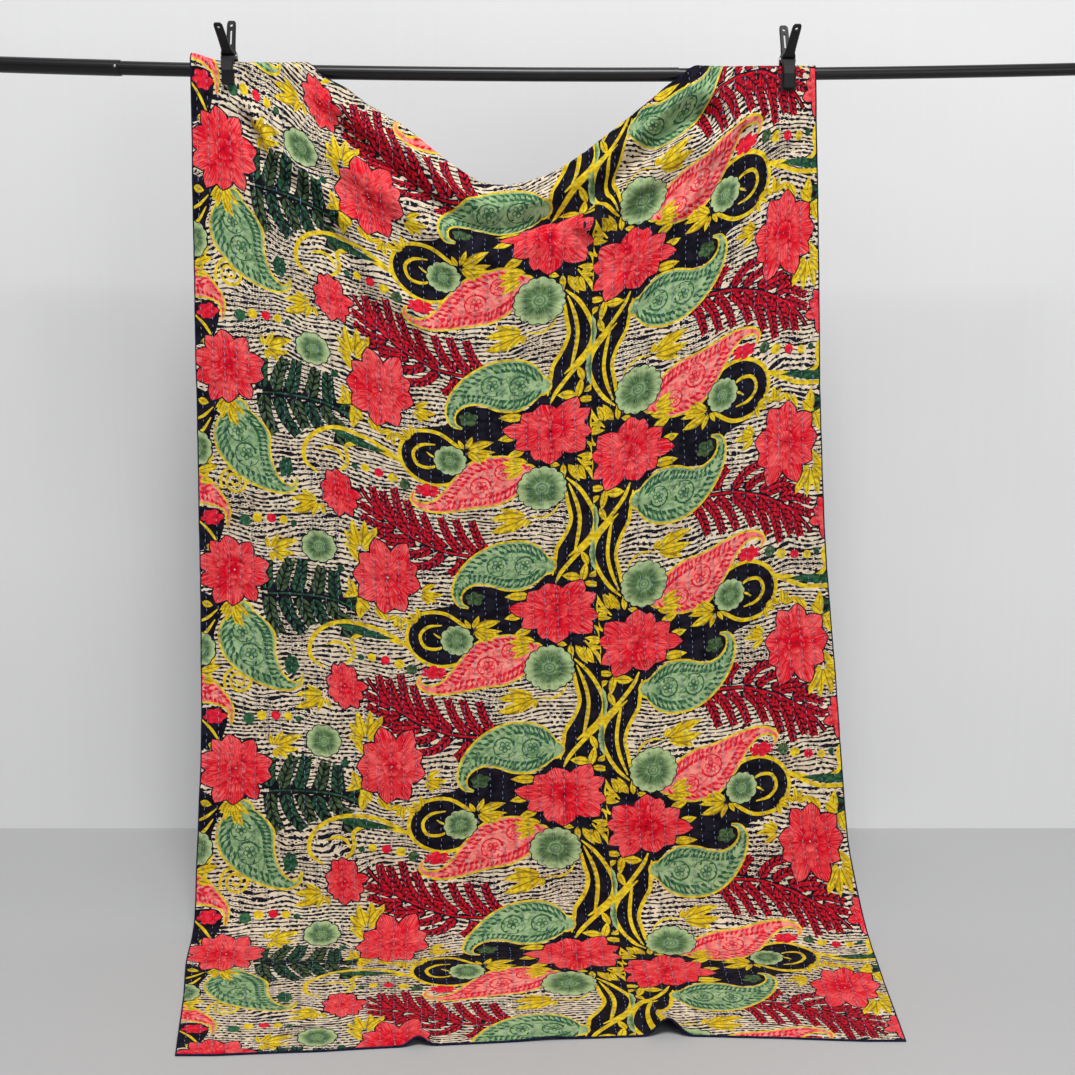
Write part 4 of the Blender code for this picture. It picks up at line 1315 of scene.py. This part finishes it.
def polarNoise(tree, radius, angle, around, outward, offset):
    joined = newNode(tree, "ShaderNodeCombineXYZ")
    tree.links.new(times(tree, calc(tree, "COSINE", angle), around), joined.inputs[0])
    tree.links.new(times(tree, calc(tree, "SINE", angle), around), joined.inputs[1])
    tree.links.new(times(tree, radius, outward), joined.inputs[2])
    varied = newNode(tree, "ShaderNodeAttribute", attribute_name="variety")
    spread = newNode(tree, "ShaderNodeVectorMath", operation="ADD")
    moved = timesPlus(tree, varied.outputs["Fac"], 40.0, offset)
    tree.links.new(joined.outputs[0], spread.inputs[0])
    tree.links.new(moved, spread.inputs[1])
    noise = newNode(tree, "ShaderNodeTexNoise")
    noise.inputs["Scale"].default_value = 1.0
    noise.inputs["Detail"].default_value = 2.0
    tree.links.new(spread.outputs[0], noise.inputs["Vector"])
    return noise.outputs[0]


# Cream ground with wavy black lines, small black squares that sit on them and smaller ones between them.
# Thicknesses are shares of the distance between two lines, sizes of squares shares of a cell.
groundLook = {
    "cream": (0.84, 0.71, 0.53), "shade": (0.72, 0.58, 0.41), "line": (0.010, 0.009, 0.018),
    "pitch": 0.0100, "wave": 0.080, "wobble": 0.0042, "thick": 0.150, "swell": 0.26, "gap": 0.36,
    "square": 0.0132, "squareShift": 1.3, "squareSize": (0.12, 0.17), "squareTall": 0.31,
    "often": (0.42, 0.52), "between": (0.34, 0.35),
}


def groundInk():
    look = groundLook
    material, tree, shader = startMaterial("printed ground")
    uv = uvNode(tree, "flat")
    parts = newNode(tree, "ShaderNodeSeparateXYZ")
    tree.links.new(uv, parts.inputs[0])
    across, along = parts.outputs[0], parts.outputs[1]
    wave = times(tree, minus(tree, noiseAt(tree, uv, 6.0, 7.0, 2.0, 1.0), 0.5), look["wave"])
    wobble = times(tree, minus(tree, noiseAt(tree, uv, 75.0, 110.0, 1.0, 4.0), 0.5), look["wobble"])
    rowValue = calc(tree, "DIVIDE", plus(tree, plus(tree, along, wave), wobble), look["pitch"])
    row = calc(tree, "FLOOR", rowValue)
    inRow = halfAway(tree, rowValue)

    # The lines swell and thin out along their length, and are broken here and there
    rowSeed = newNode(tree, "ShaderNodeCombineXYZ")
    tree.links.new(times(tree, across, 24.0), rowSeed.inputs[0])
    tree.links.new(times(tree, row, 3.7), rowSeed.inputs[1])
    streak = newNode(tree, "ShaderNodeTexNoise")
    streak.inputs["Scale"].default_value = 1.0
    streak.inputs["Detail"].default_value = 1.0
    tree.links.new(rowSeed.outputs[0], streak.inputs["Vector"])
    swell = times(tree, steps(tree, streak.outputs[0], 0.52, 0.74), look["swell"])
    line = calc(tree, "LESS_THAN", inRow, plus(tree, swell, look["thick"]))
    gap = noiseAt(tree, uv, 120.0, 85.0, 1.0, 31.0)
    line = times(tree, line, calc(tree, "GREATER_THAN", gap, look["gap"]))

    # Squares on the lines, more of them in some patches than in others
    shift = calc(tree, "FRACT", times(tree, row, 0.5))
    cellValue = plus(tree, calc(tree, "DIVIDE", across, look["square"]), shift)
    uneven = noiseAt(tree, uv, 22.0, 30.0, 1.0, 40.0)
    cellValue = plus(tree, cellValue, times(tree, uneven, look["squareShift"]))
    inCell = halfAway(tree, cellValue)
    cellSeed = newNode(tree, "ShaderNodeCombineXYZ")
    tree.links.new(calc(tree, "FLOOR", cellValue), cellSeed.inputs[0])
    tree.links.new(row, cellSeed.inputs[1])
    chance = newNode(tree, "ShaderNodeTexWhiteNoise", noise_dimensions="2D")
    tree.links.new(cellSeed.outputs[0], chance.inputs["Vector"])
    dotty = steps(tree, noiseAt(tree, uv, 11.0, 15.0, 1.0, 21.0), 0.46, 0.58)
    often = timesPlus(tree, dotty, *look["often"])
    size = timesPlus(tree, chance.outputs["Color"], *look["squareSize"])
    tall = calc(tree, "LESS_THAN", inRow, look["squareTall"])
    square = times(tree, calc(tree, "LESS_THAN", inCell, size), tall)
    square = times(tree, square, calc(tree, "LESS_THAN", chance.outputs["Value"], often))

    # Squares between the lines, in a few patches
    offRow = calc(tree, "GREATER_THAN", inRow, look["between"][0])
    offCell = calc(tree, "GREATER_THAN", inCell, look["between"][1])
    patches = steps(tree, noiseAt(tree, uv, 14.0, 12.0, 1.0, 55.0), 0.55, 0.57)
    between = times(tree, times(tree, offRow, offCell), patches)
    mark = calc(tree, "MAXIMUM", calc(tree, "MAXIMUM", line, square), between, clamp=True)
    stain = steps(tree, noiseAt(tree, uv, 9.0, 12.0, 3.0, 61.0), 0.45, 0.75)
    cream = mixColour(tree, stain, look["cream"], look["shade"])
    finishCloth(tree, shader, uv, mixColour(tree, mark, cream, look["line"]))
    return material


# An ink of two close tones
def plainInk(name, dark, light, scale, share=(0.40, 0.62)):
    material, tree, shader = startMaterial(name)
    uv = uvNode(tree, "flat")
    patch = steps(tree, noiseAt(tree, uv, scale, 1.3 * scale, 2.0, 6.0), *share)
    finishCloth(tree, shader, uv, mixColour(tree, patch, dark, light))
    return material


# Leaves: two tones, a thin dark edge, a dark midrib and side veins
leafLook = {"dark": (0.72, 0.47, 0.010), "light": (0.90, 0.67, 0.030), "line": (0.17, 0.100, 0.008),
            "rib": 0.75, "vein": 0.50, "rim": 0.70}


def leafInk():
    look = leafLook
    material, tree, shader = startMaterial("printed leaves")
    uv = uvNode(tree, "flat")
    _, _, x, y = polar(tree, uvNode(tree, "motif"))
    away = calc(tree, "ABSOLUTE", y)
    rib = calc(tree, "LESS_THAN", away, 0.10)
    rib = times(tree, rib, calc(tree, "LESS_THAN", x, 0.55))
    slant = calc(tree, "FRACT", timesPlus(tree, away, -0.9, times(tree, x, 2.6)))
    vein = times(tree, calc(tree, "LESS_THAN", slant, 0.12), look["vein"])
    bulge = calc(tree, "MAXIMUM", minus(tree, 1.0, times(tree, x, x)), 0.0)
    edge = times(tree, calc(tree, "POWER", bulge, 0.62), 0.94)
    rim = steps(tree, minus(tree, away, edge), -0.20, 0.0)
    inner = calc(tree, "MAXIMUM", times(tree, rib, look["rib"]), vein)
    marks = calc(tree, "MAXIMUM", inner, times(tree, rim, look["rim"]), clamp=True)
    patch = steps(tree, noiseAt(tree, uv, 80.0, 80.0, 2.0, 6.0), 0.40, 0.62)
    body = mixColour(tree, patch, look["dark"], look["light"])
    finishCloth(tree, shader, uv, mixColour(tree, marks, body, look["line"]))
    return material


# Petals of the red flowers: fine hatching that pales towards the tip, with a dark edge and a dark foot
roseLook = {"deep": (0.71, 0.002, 0.018), "pale": (0.99, 0.160, 0.158), "line": (0.30, 0.003, 0.014),
            "hatch": (1.5, 12.0), "tip": (1.02, 0.02), "blotch": 1.4, "variety": (0.5, 0.75),
            "rim": 0.50, "foot": 0.52}


def roseInk():
    look = roseLook
    material, tree, shader = startMaterial("printed rose")
    uv = uvNode(tree, "flat")
    _, _, x, y = polar(tree, uvNode(tree, "motif"))
    varied = newNode(tree, "ShaderNodeAttribute", attribute_name="variety").outputs["Fac"]
    moved = newNode(tree, "ShaderNodeCombineXYZ")
    tree.links.new(timesPlus(tree, varied, 50.0, times(tree, x, look["hatch"][0])), moved.inputs[0])
    tree.links.new(times(tree, y, look["hatch"][1]), moved.inputs[1])
    hatch = newNode(tree, "ShaderNodeTexNoise")
    hatch.inputs["Scale"].default_value = 1.0
    hatch.inputs["Detail"].default_value = 3.0
    tree.links.new(moved.outputs[0], hatch.inputs["Vector"])
    blotch = noiseAt(tree, uv, 26.0, 22.0, 2.0, 8.0)
    outward = steps(tree, x, 0.20, 0.92)
    streaks = steps(tree, hatch.outputs[0], 0.38, 0.66)
    light = times(tree, streaks, timesPlus(tree, outward, *look["tip"]))
    light = plus(tree, light, times(tree, minus(tree, blotch, 0.50), look["blotch"]))
    light = times(tree, light, timesPlus(tree, varied, *look["variety"]), clamp=True)
    body = mixColour(tree, light, look["deep"], look["pale"])
    hollow = minus(tree, x, 0.62)
    arch = minus(tree, 1.0, times(tree, times(tree, hollow, hollow), 2.6))
    rim = steps(tree, minus(tree, calc(tree, "ABSOLUTE", y), arch), -0.14, 0.0)
    foot = minus(tree, 1.0, steps(tree, x, 0.0, 0.30))
    dark = calc(tree, "MAXIMUM", times(tree, rim, look["rim"]), times(tree, foot, look["foot"]), clamp=True)
    finishCloth(tree, shader, uv, mixColour(tree, dark, body, look["line"]))
    return material


# Green flowers: a dark soft ring round a paler middle, and pale scalloped petals with fine hatching.
# Thin rings: radius, width, weight.
sageLook = {"deep": (0.045, 0.120, 0.040), "pale": (0.45, 0.58, 0.28), "middle": (0.27, 0.40, 0.19),
            "ring": (0.050, 0.135, 0.060), "rings": ((0.20, 0.05, 0.75), (0.09, 0.035, 0.7))}


def sageInk():
    look = sageLook
    material, tree, shader = startMaterial("printed sage flower")
    uv = uvNode(tree, "flat")
    radius, angle, _, _ = polar(tree, uvNode(tree, "motif"))
    hatch = polarNoise(tree, radius, angle, 12.0, 1.6, 0.0)
    broad = polarNoise(tree, radius, angle, 2.0, 1.2, 3.0)
    bent = timesPlus(tree, minus(tree, broad, 0.5), 0.36, radius)
    light = timesPlus(tree, steps(tree, hatch, 0.34, 0.66), 0.35, steps(tree, bent, 0.48, 0.92))
    light = times(tree, light, 0.80, clamp=True)
    body = mixColour(tree, light, look["deep"], look["pale"])
    inner = minus(tree, 1.0, steps(tree, bent, 0.24, 0.36))
    body = mixColour(tree, times(tree, inner, 0.85), body, look["middle"])
    for middle, width, weight in look["rings"]:
        away = calc(tree, "ABSOLUTE", minus(tree, radius, middle))
        ring = minus(tree, 1.0, steps(tree, away, 0.3 * width, width))
        body = mixColour(tree, times(tree, ring, weight), body, look["ring"])
    finishCloth(tree, shader, uv, body)
    return material


# Paisley fill: a pale body in two tones, under thin broken lines that wind through it
paisleyFill = {"lineScale": (62.0, 54.0), "wander": 0.022, "lineWeight": 0.75}


def paisleyInk(name, pales, deep):
    material, tree, shader = startMaterial(name)
    uv = uvNode(tree, "flat")
    warp = newNode(tree, "ShaderNodeTexNoise")
    warp.inputs["Scale"].default_value = 38.0
    tree.links.new(uv, warp.inputs["Vector"])
    shrink = newNode(tree, "ShaderNodeVectorMath", operation="SCALE")
    shrink.inputs["Scale"].default_value = paisleyFill["wander"]
    tree.links.new(warp.outputs["Color"], shrink.inputs[0])
    bend = newNode(tree, "ShaderNodeVectorMath", operation="ADD")
    tree.links.new(uv, bend.inputs[0])
    tree.links.new(shrink.outputs[0], bend.inputs[1])
    mapping = newNode(tree, "ShaderNodeMapping")
    mapping.inputs["Scale"].default_value = (*paisleyFill["lineScale"], 1.0)
    tree.links.new(bend.outputs[0], mapping.inputs["Vector"])
    swirl = newNode(tree, "ShaderNodeTexVoronoi", feature="DISTANCE_TO_EDGE")
    swirl.inputs["Scale"].default_value = 1.0
    tree.links.new(mapping.outputs[0], swirl.inputs["Vector"])
    lines = minus(tree, 1.0, steps(tree, swirl.outputs["Distance"], 0.03, 0.12))
    broken = steps(tree, noiseAt(tree, uv, 55.0, 47.0, 1.0, 15.0), 0.42, 0.55)
    lines = times(tree, times(tree, lines, broken), paisleyFill["lineWeight"])
    patch = noiseAt(tree, uv, 45.0, 52.0, 2.0, 7.0)
    body = mixColour(tree, steps(tree, patch, 0.3, 0.7), *pales)
    finishCloth(tree, shader, uv, mixColour(tree, lines, body, deep))
    return material


chartPrint()
print(f"print charted: {len(shapes)} shapes in a repeat")

# Inks of two close tones: dark, light, patches per metre
plainInks = {
    "black": ((0.0050, 0.0042, 0.0085), (0.013, 0.011, 0.020), 40.0),
    "mustard": ((0.70, 0.46, 0.010), (0.88, 0.66, 0.030), 90.0),
    "crimson": ((0.42, 0.003, 0.012), (0.68, 0.010, 0.026), 120.0),
    "pine": ((0.012, 0.048, 0.024), (0.036, 0.125, 0.058), 120.0),
    "deepRose": ((0.66, 0.008, 0.030), (0.84, 0.028, 0.052), 90.0),
    "olive": ((0.030, 0.065, 0.024), (0.085, 0.145, 0.058), 100.0),
    "mossGreen": ((0.022, 0.095, 0.042), (0.055, 0.165, 0.075), 120.0),
}
# Paisley bodies: two pale tones, and the tone of the lines
paisleyTones = {
    "sage": (((0.25, 0.40, 0.19), (0.40, 0.54, 0.28)), (0.10, 0.22, 0.09)),
    "pink": (((0.93, 0.16, 0.15), (0.97, 0.36, 0.30)), (0.82, 0.050, 0.075)),
}
inkMaterials = {
    "ground": groundInk(),
    "black": plainInk("printed black", *plainInks["black"]),
    "mustard": plainInk("printed mustard", *plainInks["mustard"]),
    "rose": roseInk(),
    "sage": sageInk(),
    "sagePaisley": paisleyInk("printed sage paisley", *paisleyTones["sage"]),
    "pinkPaisley": paisleyInk("printed pink paisley", *paisleyTones["pink"]),
    "crimson": plainInk("printed crimson", *plainInks["crimson"]),
    "pine": plainInk("printed pine", *plainInks["pine"]),
    "deepRose": plainInk("printed deep rose", *plainInks["deepRose"]),
    "olive": plainInk("printed olive", *plainInks["olive"]),
    "leafMustard": leafInk(),
    "mossGreen": plainInk("printed moss green", *plainInks["mossGreen"]),
}
leftPanel = buildPanel("quilt_left_panel", False)
rightPanel = buildPanel("quilt_right_panel", True)

# Plain dark back of the quilt
backing = {
    "columns": 170, "topLength": 0.60, "topRows": 210, "rows": 160, "leastHeight": 0.0002,
    "tones": ((0.0145, 0.0170, 0.0470), (0.0195, 0.0230, 0.0620)), "patches": 25.0,
    "patchShare": (0.25, 0.80),
}


def sheetGrid(columns, rows):
    ids = np.arange(columns * rows).reshape(rows, columns)
    return np.stack([ids[:-1, :-1], ids[:-1, 1:], ids[1:, 1:], ids[1:, :-1]], -1).reshape(-1, 4)


def buildBacking():
    across = np.linspace(0, clothWidth, backing["columns"])
    along = np.concatenate([np.linspace(0, backing["topLength"], backing["topRows"], endpoint=False),
                            np.linspace(backing["topLength"], clothLength, backing["rows"])])
    u, v = np.meshgrid(across, along)
    flat = np.stack([u.ravel(), v.ravel()], 1)
    points, normals, relief = clothSurface(flat[:, 0], flat[:, 1])
    verts = points - normals * (clothThick / 2 - relief)[:, None]
    verts[:, 2] = np.maximum(verts[:, 2], backing["leastHeight"])
    faces = sheetGrid(len(across), len(along))
    item = addMesh("quilt_backing", verts, faces)
    flatMap = item.data.uv_layers.new(name="flat")
    flatMap.data.foreach_set("uv", flat[faces].reshape(-1).astype(np.float32))
    item.data.materials.append(plainInk("plain navy back", *backing["tones"], backing["patches"],
                                        backing["patchShare"]))
    print(f"quilt_backing: {len(faces)} quads")
    return item


quiltBacking = buildBacking()

# Narrow dark binding folded over the edge of the quilt
# Its section: share of the reach out from the edge, share of half the thickness
binding = {
    "step": 0.008, "reach": 0.0030, "swell": 0.0003, "stand": 0.0008, "leastHeight": 0.0001,
    "tones": ((0.007, 0.008, 0.026), (0.014, 0.018, 0.050)), "patches": 130.0,
    "section": ((-1.0, 1.0), (-0.55, 1.12), (-0.15, 0.95), (0.05, 0.0), (-0.15, -0.95), (-0.55, -1.12),
                (-1.0, -1.0)),
}


def buildBinding():
    verts = []
    faces = []
    uvs = []
    section = binding["section"]
    sides = (
        ((0, 0), (clothWidth, 0), (0, -1)), ((clothWidth, 0), (clothWidth, clothLength), (1, 0)),
        ((clothWidth, clothLength), (0, clothLength), (0, 1)), ((0, clothLength), (0, 0), (-1, 0)),
    )
    for start, end, outward in sides:
        run = math.hypot(end[0] - start[0], end[1] - start[1])
        count = int(run / binding["step"]) + 1
        t = np.linspace(0, 1, count)
        u = start[0] + (end[0] - start[0]) * t
        v = start[1] + (end[1] - start[1]) * t
        points, normals, relief = clothSurface(u, v)
        inner = drape(u - outward[0] * 0.002, v - outward[1] * 0.002)
        away = points - inner
        away /= np.linalg.norm(away, axis=1, keepdims=True)
        first = len(verts)
        for k in range(count):
            for off, out in section:
                lift = (clothThick / 2 + binding["swell"]) * out + relief[k]
                place = points[k] + away[k] * (binding["stand"] + off * binding["reach"]) + normals[k] * lift
                place[2] = max(place[2], binding["leastHeight"])
                verts.append(place)
                uvs.append((u[k] + 0.001 * off, v[k] + 0.001 * out))
        wide = len(section)
        for k in range(count - 1):
            for s in range(wide - 1):
                a = first + k * wide + s
                faces.append((a, a + 1, a + 1 + wide, a + wide))
    item = addMesh("edge_binding", verts, faces)
    flatMap = item.data.uv_layers.new(name="flat")
    flatMap.data.foreach_set("uv", np.array(uvs)[np.array(faces)].reshape(-1).astype(np.float32))
    item.data.materials.append(plainInk("navy binding", *binding["tones"], binding["patches"]))
    bpy.ops.object.select_all(action="DESELECT")
    item.select_set(True)
    bpy.context.view_layer.objects.active = item
    bpy.ops.object.mode_set(mode="EDIT")
    bpy.ops.mesh.select_all(action="SELECT")
    bpy.ops.mesh.normals_make_consistent(inside=False)
    bpy.ops.object.mode_set(mode="OBJECT")
    print(f"edge_binding: {len(faces)} quads")
    return item


edgeBinding = buildBinding()

# Running stitches: short threads in straight lines down the quilt
stitch = {
    "length": 0.0074, "half": 0.00065, "rise": 0.00085, "sunk": 0.0002, "seed": 31,
    "edge": 0.010, "endMargin": 0.006, "offset": 0.0067, "unevenPlace": 0.0014, "unevenLength": 0.18,
    "lean": 0.0005,
    "colour": (0.36, 0.48, 0.80), "shade": (0.22, 0.32, 0.60),
}


def buildStitches():
    chance = np.random.default_rng(stitch["seed"])
    spacing, pitch = clothLook["lineSpacing"], clothLook["stitchSpacing"]
    lines = np.arange(spacing / 2, clothWidth - stitch["edge"] / 2, spacing)
    rows = np.arange(stitch["edge"], clothLength - stitch["edge"], pitch)
    u, v = np.meshgrid(lines, rows)
    drift = 0.0012 * np.sin(3.1 * v + 5 * u) + 0.0006 * chance.standard_normal(u.shape)
    u = (u + drift).ravel()
    uneven = stitch["unevenPlace"] * chance.standard_normal(v.shape)
    v = (v + uneven + stitch["offset"] * (np.arange(len(lines)) % 2)).ravel()
    v = np.clip(v, stitch["endMargin"], clothLength - stitch["endMargin"])
    longer = (1 + stitch["unevenLength"] * chance.standard_normal(u.shape)).clip(0.6, 1.4)
    half = 0.5 * stitch["length"] * longer
    lean = stitch["lean"] * chance.standard_normal(u.shape)
    ends = []
    for share in (-1.0, -0.5, 0.5, 1.0):
        placed, normals = frontPoints(u + lean * share, v + half * share)
        ends.append((placed, normals))
    ahead = ends[3][0] - ends[0][0]
    ahead /= np.linalg.norm(ahead, axis=1, keepdims=True)
    normal = ends[1][1]
    side = np.cross(normal, ahead)
    count = len(u)
    width, rise = stitch["half"], stitch["rise"]
    rings = [ends[0][0] - normal * stitch["sunk"]]
    for placed, _ in ends[1:3]:
        rings += [placed - side * width, placed + normal * rise, placed + side * width]
    rings.append(ends[3][0] - normal * stitch["sunk"])
    verts = np.stack(rings, 1).reshape(-1, 3)
    pattern = np.array([(0, 2, 1), (0, 3, 2), (0, 1, 3), (1, 2, 5), (1, 5, 4), (2, 3, 6),
                        (2, 6, 5), (3, 1, 4), (3, 4, 6), (7, 4, 5), (7, 5, 6), (7, 6, 4)])
    faces = (pattern[None] + 8 * np.arange(count)[:, None, None]).reshape(-1, 3)
    item = addMesh("running_stitches", verts, faces)
    material, tree, shader = startMaterial("blue thread")
    place = newNode(tree, "ShaderNodeTexCoord").outputs["Object"]
    twist = noiseAt(tree, place, 900.0, 1400.0, 2.0, 1.0)
    tree.links.new(mixColour(tree, steps(tree, twist, 0.35, 0.65), stitch["shade"], stitch["colour"]),
                   shader.inputs["Base Color"])
    bump = newNode(tree, "ShaderNodeBump")
    bump.inputs["Distance"].default_value = 0.0002
    tree.links.new(twist, bump.inputs["Height"])
    tree.links.new(bump.outputs[0], shader.inputs["Normal"])
    shader.inputs["Roughness"].default_value = 0.7
    item.data.materials.append(material)
    print(f"running_stitches: {count} stitches, {len(faces)} triangles")
    return item


runningStitches = buildStitches()

for piece in (leftPanel, rightPanel, quiltBacking, edgeBinding, runningStitches):
    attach(piece, "root")
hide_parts("quilt")

# Rod and clamps: the solids keep their shape and get their finishes
# name, dark and worn tone, roughness and its spread, grain per metre, bump height, metallic, coat
hardLook = {
    "rod": ("satin black paint", (0.005, 0.005, 0.006), (0.012, 0.012, 0.013),
            0.30, 0.16, 700.0, 0.00004, 0.0, 0.10),
    "lever": ("black nylon", (0.005, 0.005, 0.006), (0.010, 0.010, 0.012),
              0.34, 0.22, 1300.0, 0.00008, 0.0, 0.0),
    "pad": ("black rubber", (0.008, 0.008, 0.008), (0.014, 0.014, 0.015),
            0.60, 0.2, 900.0, 0.0001, 0.0, 0.0),
    "pin": ("bright pin", (0.46, 0.46, 0.48), (0.6, 0.6, 0.62),
            0.22, 0.2, 500.0, 0.00003, 1.0, 0.0),
}


def hardFinish(name, dark, light, roughness, spread, grain, bumpHeight, metallic, coat):
    material, tree, shader = startMaterial(name)
    place = newNode(tree, "ShaderNodeTexCoord").outputs["Object"]
    fine = noiseAt(tree, place, grain, grain, 3.0, 1.0)
    wide = noiseAt(tree, place, 9.0, 30.0, 3.0, 2.0)
    worn = steps(tree, wide, 0.52, 0.80)
    tree.links.new(mixColour(tree, worn, dark, light), shader.inputs["Base Color"])
    tree.links.new(timesPlus(tree, fine, spread, roughness), shader.inputs["Roughness"])
    bump = newNode(tree, "ShaderNodeBump")
    bump.inputs["Distance"].default_value = bumpHeight
    tree.links.new(fine, bump.inputs["Height"])
    tree.links.new(bump.outputs[0], shader.inputs["Normal"])
    shader.inputs["Metallic"].default_value = metallic
    shader.inputs["Specular IOR Level"].default_value = 0.35
    shader.inputs["Coat Weight"].default_value = coat
    shader.inputs["Coat Roughness"].default_value = 0.25
    return material


finishes = {kind: hardFinish(*look) for kind, look in hardLook.items()}
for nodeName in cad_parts:
    item = bpy.data.objects.get(nodeName)
    kind = next((key for key in finishes if key in nodeName), None)
    if item is None or kind is None:
        continue
    for slot in item.material_slots:
        slot.material = finishes[kind]
print("rod and clamps finished")

# Push button near the end of the rod's left section
button = {"x": -0.853, "radius": 0.0032, "rise": 0.0022, "sleeve": 0.016, "up": 0.001}
bpy.ops.object.select_all(action="DESELECT")
bpy.ops.mesh.primitive_uv_sphere_add(segments=20, ring_count=10, radius=1.0)
pushButton = bpy.context.object
pushButton.name = "push_button"
bpy.ops.object.mode_set(mode="EDIT")
bpy.ops.mesh.select_all(action="SELECT")
bpy.ops.transform.resize(value=(button["radius"], button["rise"], button["radius"]),
                         center_override=(0, 0, 0))
bpy.ops.transform.translate(value=(button["x"], rodY - button["sleeve"],
                                   rodAxisHeight(button["x"]) + button["up"]))
bpy.ops.object.mode_set(mode="OBJECT")
pushButton.data.shade_smooth()
pushButton.data.materials.append(finishes["pin"])
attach(pushButton, "root")

# Floor, wall, light and camera
room = {
    "wallBehindRod": 0.53, "halfWidth": 6, "wallTop": 4.2, "under": -0.0004, "wall": (0.86, 0.86, 0.86),
    "floor": (0.52, 0.52, 0.522), "camera": 3.0, "height": 1.25, "tilt": 8.0, "lens": 1428 / 1075 * 36,
    "worldColour": (0.95, 0.97, 1.0, 1.0), "worldStrength": 0.20,
}
# Round soft lamps: place, target, size, power
lamps = {
    "key": ((0.1, -3.2, 6.0), (0.0, 0.3, 0.8), 2.4, 328.0),
    "fill": ((2.2, -3.6, 1.4), (0.6, 0.8, 0.9), 2.0, 22.0),
}


def roomMaterial(name, colour, roughness):
    material, tree, shader = startMaterial(name)
    place = newNode(tree, "ShaderNodeTexCoord").outputs["Object"]
    soft = noiseAt(tree, place, 0.8, 0.8, 2.0, 3.0)
    fine = noiseAt(tree, place, 60.0, 60.0, 3.0, 1.0)
    tone = timesPlus(tree, soft, 0.10, 0.93)
    tone = times(tree, tone, timesPlus(tree, fine, 0.03, 0.985))
    scaled = newNode(tree, "ShaderNodeVectorMath", operation="SCALE")
    scaled.inputs[0].default_value = colour
    tree.links.new(tone, scaled.inputs["Scale"])
    tree.links.new(scaled.outputs[0], shader.inputs["Base Color"])
    shader.inputs["Roughness"].default_value = roughness
    return material


def stagePlane(name, corners, material):
    item = addMesh(name, corners, [(0, 1, 2, 3)], False)
    item.data.materials.append(material)


wide, under = room["halfWidth"], room["under"]
wallY = rodY + room["wallBehindRod"]
stagePlane("floor", [(-wide, -wide, under), (wide, -wide, under), (wide, wallY, under),
                     (-wide, wallY, under)],
           roomMaterial("grey floor", room["floor"], 0.6))
stagePlane("wall", [(-wide, wallY, under), (wide, wallY, under), (wide, wallY, room["wallTop"]),
                    (-wide, wallY, room["wallTop"])],
           roomMaterial("pale wall", room["wall"], 0.9))

world = bpy.data.worlds.new("soft light")
bpy.context.scene.world = world
world.use_nodes = True
world.node_tree.nodes["Background"].inputs[0].default_value = room["worldColour"]
world.node_tree.nodes["Background"].inputs[1].default_value = room["worldStrength"]
for lampName, (place, target, size, power) in lamps.items():
    bpy.ops.object.light_add(type="AREA", location=place)
    lamp = bpy.context.object
    lamp.name = lampName
    lamp.data.shape = "DISK"
    lamp.data.size = size
    lamp.data.energy = power
    lamp.rotation_euler = (Vector(target) - Vector(place)).to_track_quat("-Z", "Y").to_euler()
bpy.context.scene.view_settings.view_transform = "Standard"

bpy.ops.object.camera_add(location=(0.0, rodY - room["camera"], room["height"]),
                          rotation=(math.radians(90 - room["tilt"]), 0.0, 0.0))
camera = bpy.context.object
camera.data.sensor_width = 36.0
camera.data.lens = room["lens"]
bpy.context.scene.camera = camera
print("stage and camera set")
